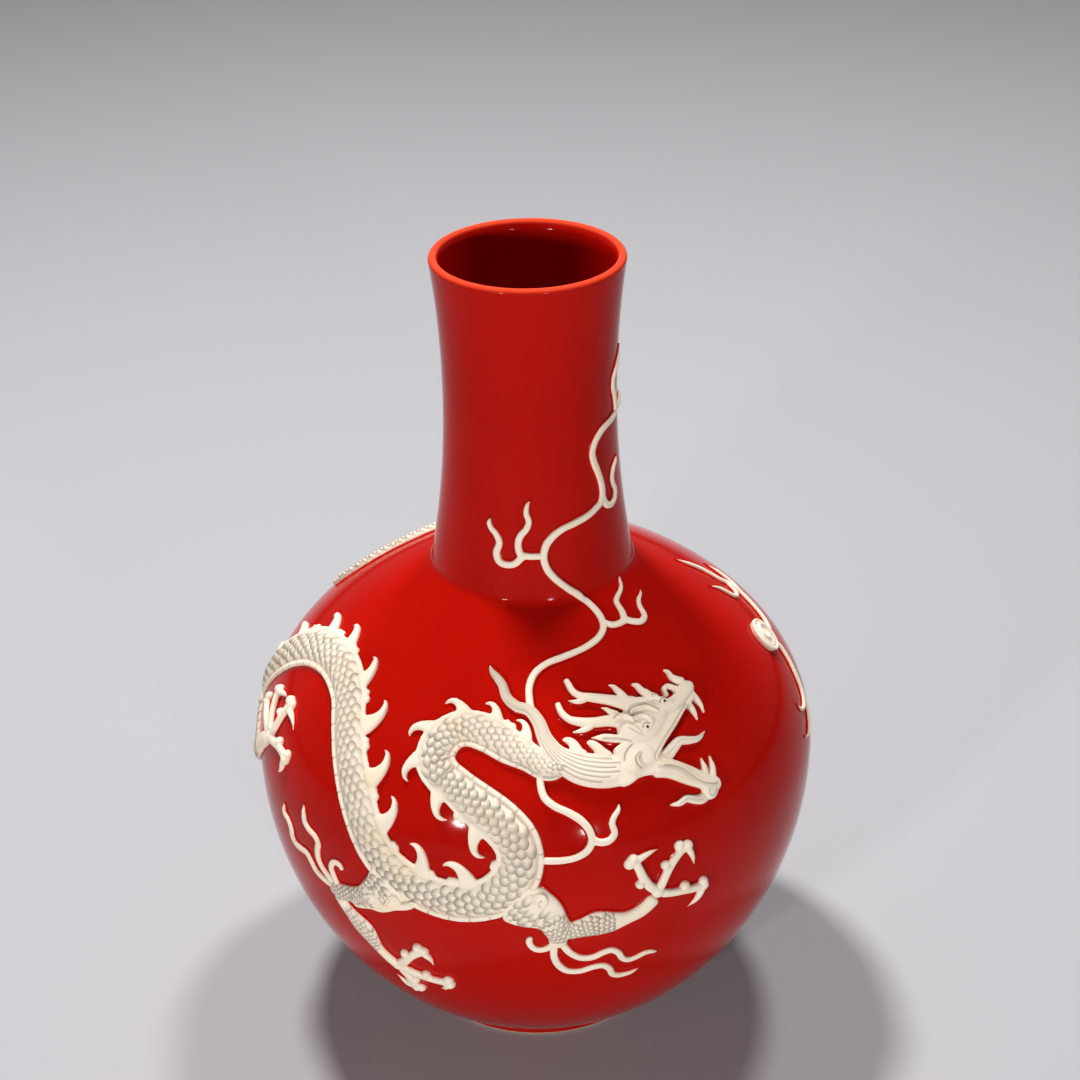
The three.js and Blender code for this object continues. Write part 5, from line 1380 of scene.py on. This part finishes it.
# Each paw is a palm and its toes, and each toe a route, a claw and the pads beside it.
PAWS = {
    "forepaw_right": ([23.4, 33.95], [
        ([[23, 34.2], [21.5, 35], [20.2, 36.2, 0.95], [19.4, 37.3, 0.9], [18.6, 38.2, 0.9]],
         [[18.8, 38.2, 0.8], [21.5, 38.65, 0.48], [23.8, 38.86, 0.08]],
         [[18, 38.6], [16.8, 37.8], [19.4, 35.4]]),
        ([[23.8, 34.4], [24.9, 35.7, 0.9], [26.3, 36.9, 0.85], [28.3, 37.9, 0.85], [29.6, 38.2, 0.9]],
         [[29.8, 38.1, 0.8], [30.9, 36.9, 0.5], [31.4, 35.7, 0.08]],
         [[28, 38.7], [30.7, 38.5], [24.6, 37]]),
        ([[24, 33.7], [26.3, 33.35, 0.85], [29, 33.1, 0.85], [31.5, 32.85, 0.85], [33.5, 32.8, 0.9]],
         [[33.6, 32.6, 0.8], [32.2, 31.2, 0.5], [30.2, 30.45, 0.08]],
         [[33.7, 33.5], [34.9, 32.7], [29.4, 33.8]]),
    ]),
    "forepaw_left": ([-31.8, 22], [
        ([[-31.3, 22.3, 1.1], [-29.3, 23.3], [-27.3, 24.6, 0.95], [-25.3, 25.6], [-24.2, 26]],
         [[-24, 25.9, 0.8], [-22.8, 25, 0.5], [-22.5, 23.7, 0.08]],
         [[-25.2, 26.4], [-22.9, 26.3], [-28.5, 24.6]]),
        ([[-31, 21.9], [-28.5, 21.6], [-25.5, 21.3, 0.9], [-22.5, 21.2, 0.85], [-20.4, 21.3, 0.9]],
         [[-20.2, 21.1, 0.8], [-21.2, 19.9, 0.5], [-22.7, 19.3, 0.08]],
         [[-19.8, 21.7], [-19.1, 20.8], [-24.9, 22]]),
        ([[-31.2, 21.6], [-30.3, 20.6, 0.95], [-29.7, 19.5, 0.9], [-29.2, 18.4, 0.9]],
         [[-29.4, 18.4, 0.8], [-32.2, 18.5, 0.55], [-34.4, 19.3, 0.08]],
         [[-27.9, 18.3], [-29.6, 17.5], [-29.1, 19.9]]),
    ]),
    "hind_paw_left": ([-72, 41], [
        ([[-71.8, 41.3], [-71, 42.8, 0.9], [-70.4, 44.2, 0.9], [-69.6, 45.5, 0.95]],
         [[-69.4, 45.3, 0.8], [-66, 44.9, 0.5], [-63.6, 44.05, 0.08]],
         [[-70.5, 45.9], [-68.6, 46], [-71.9, 44.1]]),
        ([[-71.5, 40.9], [-69, 41.2, 0.9], [-66, 41.4, 0.85], [-63, 41.3, 0.9]],
         [[-62.8, 41.2, 0.8], [-63.2, 39.8, 0.5], [-64.9, 38.9, 0.08]],
         [[-62.4, 41.6], [-61.5, 40.8], [-66.9, 41.9]]),
        ([[-73, 41.3], [-75, 42.4, 0.9], [-76.8, 43.5, 0.9], [-78.2, 44.7, 0.9]],
         [[-78, 44.8, 0.8], [-75.2, 45.4, 0.5], [-73.2, 45.6, 0.08]], [[-79.2, 44.9], [-78.2, 45.5]]),
        ([[-73, 40.9], [-77, 41.3, 0.9], [-80, 41.8, 0.85], [-82.3, 42.4, 0.8]],
         [[-82.3, 42.3, 0.8], [-84.4, 41.6, 0.5], [-86.2, 40.6, 0.08]], [[-82.6, 42.8]]),
    ]),
}


def relaid(rows, start, end):
    """Rows mirrored, and moved so that the start place comes to the end place."""
    return [
        [end[0] - (turn - start[0]), end[1] + climb - start[1], *rest]
        for turn, climb, *rest in rows
    ]


model_palm, model_toes = PAWS["forepaw_right"]
back_toes = [[relaid(rows, model_palm, BACK_PAW_PLACE) for rows in toe] for toe in model_toes]
PAWS["hind_paw_right"] = (BACK_PAW_PLACE, back_toes)

# %% Paws


def beside_toe(place, rows):
    """The seat of a pad: against its toe, on the side that its place names."""
    route = smooth_route(rows)
    run, width, away = nearest_on(route, place)
    ahead = heading(route, run, 1, place[1])
    gap = np.linalg.norm(away)
    side_share = abs(ahead[0] * away[1] - ahead[1] * away[0]) / (gap * np.linalg.norm(ahead))
    reach = width * TOE_HALF * side_share + BALL_RADIUS * (1 - PAD_SEAT)
    return shifted(*along(route, run, 0), *(-away / gap * reach))


def paw(name, palm, toes):
    """A paw whose pads vary a little in size."""
    hand = np.random.default_rng(len(name))
    strips, balls = [], [(palm, BALL_RADIUS * 1.25, BALL_RISE)]
    for route, claw, pads in toes:
        strips += [(route, TOE_HALF, TOE_RISE), (claw, TOE_HALF, TOE_RISE)]
        for pad in pads:
            radius = BALL_RADIUS * hand.uniform(0.85, 1.08)
            balls.append((beside_toe(pad, route), radius, BALL_RISE * hand.uniform(0.9, 1.1)))
    sprig(name, strips, 0.55, balls)


for name, (palm, toes) in PAWS.items():
    paw(name, palm, toes)

# %% [markdown]
# ## Ribbons, flames and the pearl
#
# Cloud ribbons and elbow flames are all the same rolled strip, flattened on top, thinning to a point
# or ending in a small curl. The pearl is a low disc with a rim and a comma swirl laid on it.

# %% Routes of the ribbons and flames
RIBBON_HALF, RIBBON_RISE = 2.5, 2.4
BACK_FLAME_PLACE = [-127.5, 27.6]
STRANDS = {
    "ribbon_stem": [
        [[74, 84.1, 0.9], [70.5, 83.85, 0.95], [63.6, 83.6, 0.95], [56.8, 83.45, 0.95], [50, 83],
         [44.8, 82.2], [42.4, 81.2, 1.05], [43.6, 80.2, 1.05], [46.5, 79], [49.3, 77.5], [49.8, 76.4],
         [47.8, 75.6], [44, 75.25], [36.7, 74.75], [26.7, 74.35], [18, 73.95], [11.5, 73.2],
         [7.8, 72.3], [6.5, 71.2], [8, 70.05], [12.7, 68.8], [20, 67.5], [26.3, 66.4],
         [29.8, 64.9, 0.95], [30.8, 63.4, 0.95], [29.5, 62.2, 0.95], [26, 61.3, 0.95], [20, 60.55, 0.9],
         [10, 59.75, 0.9], [4, 59.15, 0.9], [0, 58.1, 0.95], [-1.6, 56.7], [-1.4, 55], [-1, 54]],
    ],
    "ribbon_neck_tendril": [
        [[71.9, 84.1], [71.2, 84.9, 0.95], [69.4, 86, 0.9], [66.6, 87, 0.85], [66.8, 87.8, 0.8],
         [71, 88.7, 0.65], [77, 89.6, 0.45], [83, 90.6, 0.12]],
    ],
    "ribbon_right_tendril": [
        [[49.4, 76.2], [51.6, 75.2], [55, 74.75], [59.3, 74.7, 0.95], [63, 75.2, 0.9], [64, 75.9, 0.85],
         [62, 76.6, 0.8], [61, 77.3, 0.8], [63.5, 78.2, 0.7], [68, 78.8, 0.5], [73, 79.1, 0.12]],
    ],
    "ribbon_left_fork": [
        [[7, 71.3], [3, 71.35, 0.95], [-1, 71.35, 0.95], [-5.3, 71.35], [-10, 70.55], [-15.3, 70.35],
         [-20, 70.7], [-21.4, 71.5, 0.95], [-19.7, 72.6, 0.9], [-22, 73.5, 0.85], [-25.5, 74.1, 0.7],
         [-26.6, 74.6, 0.6], [-25.6, 75.2, 0.12]],
        [[-4, 71.3], [-7.6, 71.8], [-8.3, 72.8, 0.95], [-6.7, 73.6, 0.95], [-3.3, 74.3, 0.9],
         [-1.8, 75.1, 0.85], [-3.4, 76, 0.75], [-2.6, 76.9, 0.5], [-0.2, 77.35, 0.1]],
    ],
    "ribbon_right_fork": [
        [[30, 62.9, 0.9], [33, 62.15, 0.9], [36.7, 61.95, 0.9], [40.4, 62], [43, 61.5, 0.95],
         [46, 61.15, 0.9], [49.4, 61.5, 0.85], [51, 62.5, 0.75], [53.3, 63.15, 0.65], [58, 63.6, 0.4],
         [62.4, 64.2, 0.08]],
        [[39.6, 62], [41.6, 63, 0.9], [42.7, 64.2, 0.8], [46, 64.75, 0.7], [50.7, 65.2, 0.6],
         [54.6, 65.8, 0.5], [56.3, 66.3, 0.4], [55.6, 66.8, 0.2]],
    ],
    "ribbon_under_chin": [
        [[1, 48.4], [0.9, 46.9], [1.6, 45.6], [3.6, 44.7], [6.3, 44], [8.8, 43.1], [10.3, 42],
         [10.6, 41], [9.6, 40.1], [7.4, 39.5, 0.95], [4.5, 39.3, 0.95], [0, 39.4, 0.95]],
        [[10.3, 41.4], [11.8, 40.8], [13.8, 40.75], [15.2, 41.4, 0.95], [14.9, 42.4, 0.9],
         [15.6, 43.1, 0.75], [16.5, 43.6, 0.6], [16.9, 44.3, 0.15]],
    ],
    "ribbon_back": [
        [[75.2, 84.2, 0.9], [90, 84.4, 0.95], [108, 83.4], [126, 81], [144, 78.6], [164, 77.6],
         [184, 78.4], [202, 80.6], [218, 81.6, 0.9], [232, 80.4, 0.6], [242, 78.6, 0.1]],
        [[140, 79.1], [134, 77], [133, 74.6], [141, 72.6], [152, 71.4], [162, 69.8, 0.95],
         [168, 67.6, 0.8], [165, 65.8, 0.5], [158, 65, 0.1]],
        [[175, 77.9], [182, 76.2], [186, 74.2, 0.95], [194, 72.8, 0.9], [203, 73.4, 0.7],
         [207, 75, 0.4], [205, 76.4, 0.1]],
    ],
    "ribbon_low_back": [
        [[163, 39], [161, 35.6], [156, 32.8], [148, 31], [139, 30.4], [131, 31.8], [124, 33.6, 0.9],
         [117, 32.8, 0.7], [112, 31, 0.1]],
        [[145, 30.7], [140, 28.2], [133, 26.4], [125, 26.4, 0.9], [118, 27.6, 0.7], [112.5, 26.6, 0.1]],
    ],
    "foreleg_right_flame_upper": [
        [[3.9, 29.6], [6.2, 27.6], [8.4, 26.7], [10.8, 26.6], [12.8, 27.1], [14.5, 27.25],
         [16, 26.6, 0.95], [17, 25.6, 0.9], [18.4, 25.1, 0.9], [20.2, 25.25, 0.85], [22, 25.6, 0.75],
         [23.5, 25.5, 0.6], [25.3, 24.9, 0.1]],
    ],
    "foreleg_right_flame_lower": [
        [[3, 29.2], [2.95, 27.2], [4, 25.7], [5.8, 24.75], [8.4, 24.55], [11, 24.95, 0.95],
         [13, 24.95, 0.95], [14.5, 24.2, 0.95], [15.4, 23.1, 0.9], [17, 22.65, 0.85],
         [19.2, 22.7, 0.65], [22, 23.1, 0.1]],
    ],
    "foreleg_right_curl": [
        [[3, 29.1, 0.9], [1.3, 28.45, 0.9], [-0.3, 28.35, 0.9], [-1.5, 28.9, 0.9], [-1.9, 29.7, 0.85],
         [-1.3, 30.2, 0.5]],
    ],
    "foreleg_left_flame_upper": [
        [[-44, 30.6], [-46.3, 31.7], [-47.6, 32.3], [-48.5, 33.2], [-48.4, 34.4], [-48, 35.2, 0.95],
         [-48.9, 35.8, 0.95], [-51, 36.15, 0.95], [-52.3, 36.7, 0.9], [-52.6, 37.5, 0.75],
         [-53, 38.5, 0.2]],
    ],
    "foreleg_left_flame_lower": [
        [[-45, 30.5], [-47.5, 30.65], [-50, 31.1], [-51.3, 32], [-52.4, 32.65], [-54.5, 32.6],
         [-56.8, 32.6], [-57.9, 33.2], [-58, 34.2], [-58.9, 34.9, 0.95], [-60.5, 35.3, 0.9],
         [-60.6, 36.5, 0.25]],
    ],
    "foreleg_left_curl": [
        [[-43.3, 30.9, 1.1], [-44.2, 32.2], [-44.6, 33.1, 0.9], [-43.5, 34, 0.85], [-41.9, 34.05, 0.85],
         [-41.2, 33.5, 0.5]],
    ],
}
[model] = STRANDS["foreleg_right_flame_upper"]
STRANDS["hind_leg_right_flame"] = [relaid(model, model[0], BACK_FLAME_PLACE)]
STRANDS["pearl_flame_upper"] = [
    [[86, 49], [90, 48.6], [93.5, 48.9], [97.5, 50.3], [101, 52], [102, 53.4, 0.95], [101, 55, 0.85],
     [101.6, 57.4, 0.75], [100.7, 59.3, 0.55], [100.4, 61, 0.12]],
    [[100.6, 51.8, 0.95], [104.5, 52.6, 0.8], [107.5, 54, 0.6], [110.6, 55.6, 0.12]],
    [[101.6, 53.9, 0.8], [97.8, 52.9, 0.7], [94.6, 53.6, 0.65], [93.6, 55.6, 0.5], [91, 57.3, 0.1]],
]
STRANDS["pearl_flame_lower"] = [
    [[86.5, 48.8], [87.6, 47], [86.4, 45.4], [84.6, 43.8], [82.6, 42.2, 0.9], [79.5, 41.4, 0.75],
     [77, 41.8, 0.5], [76, 42.8, 0.12]],
    [[83.6, 43, 0.9], [82.6, 41, 0.8], [80, 39.4, 0.7], [76.8, 38.7, 0.5], [74, 39.3, 0.12]],
]

# %% Ribbons and flames
for name, routes in STRANDS.items():
    sprig(name, [(rows, RIBBON_HALF, RIBBON_RISE) for rows in routes], 0.55, rounds=3)

# %% Flaming pearl
PEARL_RADIUS, PEARL_RISE = 12.4, 3.15
PEARL_PLACE = [85, 49.6]
PEARL_SWIRL = [
    [0.52, -0.5, 0.6], [0.66, 0, 0.85], [0.45, 0.46], [-0.02, 0.55], [-0.36, 0.2, 0.9],
    [-0.24, -0.16, 0.8], [0.06, -0.2, 0.7], [0.16, 0.06, 0.9],
]


def on_pearl(rows, share=1):
    """Places on the pearl, given in shares of its radius, or of a share of it."""
    return [
        (*shifted(*PEARL_PLACE, share * around * PEARL_RADIUS, share * up * PEARL_RADIUS), *rest)
        for around, up, *rest in rows
    ]


bm = bmesh.new()
rim = [(math.cos(a), math.sin(a)) for a in np.linspace(0, 2 * math.pi, 16, endpoint=False)]
lay_plate(bm, on_pearl(rim), PEARL_RISE, 1.3)
lay_on_top(bm, on_pearl([*rim, *rim[:2]], 0.93), 1.2, 2.6, 1.1)
lay_on_top(bm, on_pearl(PEARL_SWIRL), 2.0, 2.8, 1.6)
mesh = fuse("flaming_pearl_sprig", bm, voxel=0.55, rounds=3)
# A ring of painted shade inside the pearl's rim.
carve(mesh, [(on_pearl(rim, 0.8), 0.7, 0.2, 0.35)])
finish_sprig("flaming_pearl_sprig", mesh, ["flaming_pearl"])

# %% [markdown]
# ## Glaze against the clay
#
# Molten glaze creeps a little up the foot of each sprig and stops there as a thin glossy bank. It
# hides the sharp line where clay meets wall, and it sparkles all round the relief. It is one low
# red strip under every strand, a little wider than the strand itself.

# %% Lay a bank
BANK_REACH, BANK_RISE, BANK_SINK = 1.5, 0.85, 0.6
BANK_STEP, BANK_AROUND = 2.0, 16
# Shares of the points round a bank: those on its top, and those on its underside.
BANK_TOP, BANK_UNDER = 0.75, 0.25


def lay_bank(bm, rows, half):
    """A low concave bank of glaze on both sides of a strand."""
    route = smooth_route(rows)
    length = route["length"] + 2 * BANK_REACH
    share, turned, verts = grid(bm, max(8, round(length / BANK_STEP)), BANK_AROUND)
    share = crowded(share, 0.6)
    run = -BANK_REACH + share * length
    width = at(route, run) * half + BANK_REACH
    ending = round_end(np.minimum(share, 1 - share) * length / (BANK_REACH + 0.15 * half))
    top = turned < BANK_TOP
    side = np.where(top, -1 + turned * 2 / BANK_TOP, 1 - (turned - BANK_TOP) * 2 / BANK_UNDER)
    inward = np.clip((1 - np.abs(side)) * width / BANK_REACH, 0, 1) ** 2
    lift = np.where(top, inward * BANK_RISE * ending - 0.02, -BANK_SINK)
    turn, climb = along(route, run, side * width * ending)
    move_points(bm, verts, over_wall(turn, climb, lift))
    close_holes(bm)


# %% Glaze banks
# The banks of the ear and the horns are wider than the others for their strands.
EAR_BANK, HORN_BANK = 3.4, 4.2
limbs = [FORELEG_RIGHT, ELBOW_RIGHT, FORELEG_LEFT, ELBOW_LEFT, HIND_LEG_LEFT, HIND_LEG_RIGHT]
toes_and_claws = [rows for _, toes in PAWS.values() for toe in toes for rows in toe[:2]]
banks = {
    "glaze_bank_ribbons": [(rows, RIBBON_HALF) for routes in STRANDS.values() for rows in routes],
    "glaze_bank_body": [(BODY_ROUTE, BODY_HALF)],
    "glaze_bank_limbs": [
        *((rows, LEG_HALF) for rows in limbs), *((rows, TOE_HALF) for rows in toes_and_claws),
    ],
    "glaze_bank_head": [
        (SKULL_ROUTE, HEAD_HALF), (CHEEK_ROUTE, HEAD_HALF), (JAW, JAW_HALF),
        (TONGUE, TONGUE_HALF), (BEARD, BEARD_HALF), (EAR, EAR_BANK),
        *((rows, HORN_BANK) for rows in HORNS), *((rows, MANE_HALF) for rows in MANE),
    ],
}
for name, laid in banks.items():
    bm = bmesh.new()
    for rows, half in laid:
        lay_bank(bm, rows, half)
    bmesh.ops.recalc_face_normals(bm, faces=bm.faces[:])
    mesh = mesh_of(name, bm)
    finish_piece(name, mesh, [glaze])
    print(name, len(laid), "banks,", len(mesh.polygons), "faces")
print("CAD nodes still shown as they are:", sorted(nodes_left))

# %% [markdown]
# ## Light, floor and camera
#
# The photograph is a plain studio shot on a pale grey seamless floor. Two lamps high behind the vase
# throw its two shadows forward, and are kept out of the gloss, as by a polarising filter. Two small
# low lamps in front leave the glints below the chest. The world is dim, and darker towards its
# zenith. The camera looks down on the shoulder.

# %% Floor
bm = bmesh.new()
bmesh.ops.create_grid(bm, x_segments=1, y_segments=1, size=15)
mesh = mesh_of("studio_floor", bm)
floor = bpy.data.objects.new("studio_floor", mesh)
bpy.context.scene.collection.objects.link(floor)
paper, _, _ = new_finish("pale_paper", Base_Color=(0.38, 0.375, 0.39, 1), Roughness=0.9)
mesh.materials.append(paper)

# %% World
HORIZON = (0.22, 0.22, 0.23, 1)
ZENITH = (0.05, 0.05, 0.052, 1)
world = bpy.data.worlds.new("studio")
bpy.context.scene.world = world
world.use_nodes = True
tree = world.node_tree
way = add_node(tree, "TexCoord", "Generated")
climbing = add_node(
    tree, "MapRange", "Result", interpolation_type="SMOOTHSTEP",
    Value=add_node(tree, "SeparateXYZ", "Z", Vector=way), From_Min=0.05, From_Max=0.45,
)
background = tree.nodes["Background"]
tree.links.new(blend(tree, climbing, HORIZON, ZENITH), background.inputs["Color"])
background.inputs["Strength"].default_value = 1.0

# %% Lamps
LAMPS_AIM = Vector((0, 0, 0.28))


def softbox(name, place, size, power, polarised):
    """A round lamp aimed at the vase. A polarised one leaves no reflection in the glaze."""
    light = bpy.data.lights.new(name, "AREA")
    light.shape = "DISK"
    light.size = size
    light.energy = power
    lamp = bpy.data.objects.new(name, light)
    lamp.location = place
    lamp.rotation_euler = (LAMPS_AIM - Vector(place)).to_track_quat("-Z", "Y").to_euler()
    lamp.visible_glossy = not polarised
    lamp.visible_camera = False
    bpy.context.scene.collection.objects.link(lamp)


softbox("back_left", (-0.65, 0.8, 3.0), 0.4, 101, polarised=True)
softbox("back_right", (0.65, 0.95, 3.0), 0.4, 57, polarised=True)
softbox("front_left", (-1.35, -2.4, 0.8), 0.22, 35, polarised=False)
softbox("front_right", (0.9, -2.65, 0.65), 0.22, 28, polarised=False)

# %% Camera
LENS, SENSOR = 80.0, 36.0
LOOK_DOWN, ROLL = math.radians(28.3708), math.radians(-0.96063)
CAMERA_AWAY, AIM_HEIGHT = 1595.66, 348.317
FRAME_CENTRE, AXIS_COLUMN, FRAME_SIZE = 540.0, 532.171, 1080.0

level, down = math.cos(LOOK_DOWN), math.sin(LOOK_DOWN)
spot = Vector((0, -CAMERA_AWAY * level, AIM_HEIGHT + CAMERA_AWAY * down))
forward = Vector((0, level, -down))
right = Vector((1, 0, 0))
up = right.cross(forward)
right_turned = math.cos(ROLL) * right + math.sin(ROLL) * up
up_turned = -math.sin(ROLL) * right + math.cos(ROLL) * up
camera_data = bpy.data.cameras.new("camera")
camera_data.lens, camera_data.sensor_width = LENS, SENSOR
camera_data.shift_x = (FRAME_CENTRE - AXIS_COLUMN) / FRAME_SIZE
camera_data.clip_end = 100
camera = bpy.data.objects.new("camera", camera_data)
turned_to = Matrix((right_turned, up_turned, -forward)).transposed().to_4x4()
camera.matrix_world = Matrix.Translation(spot * MM) @ turned_to
bpy.context.scene.collection.objects.link(camera)
bpy.context.scene.camera = camera
bpy.context.scene.view_settings.view_transform = "Standard"
print("camera", LENS, "mm")
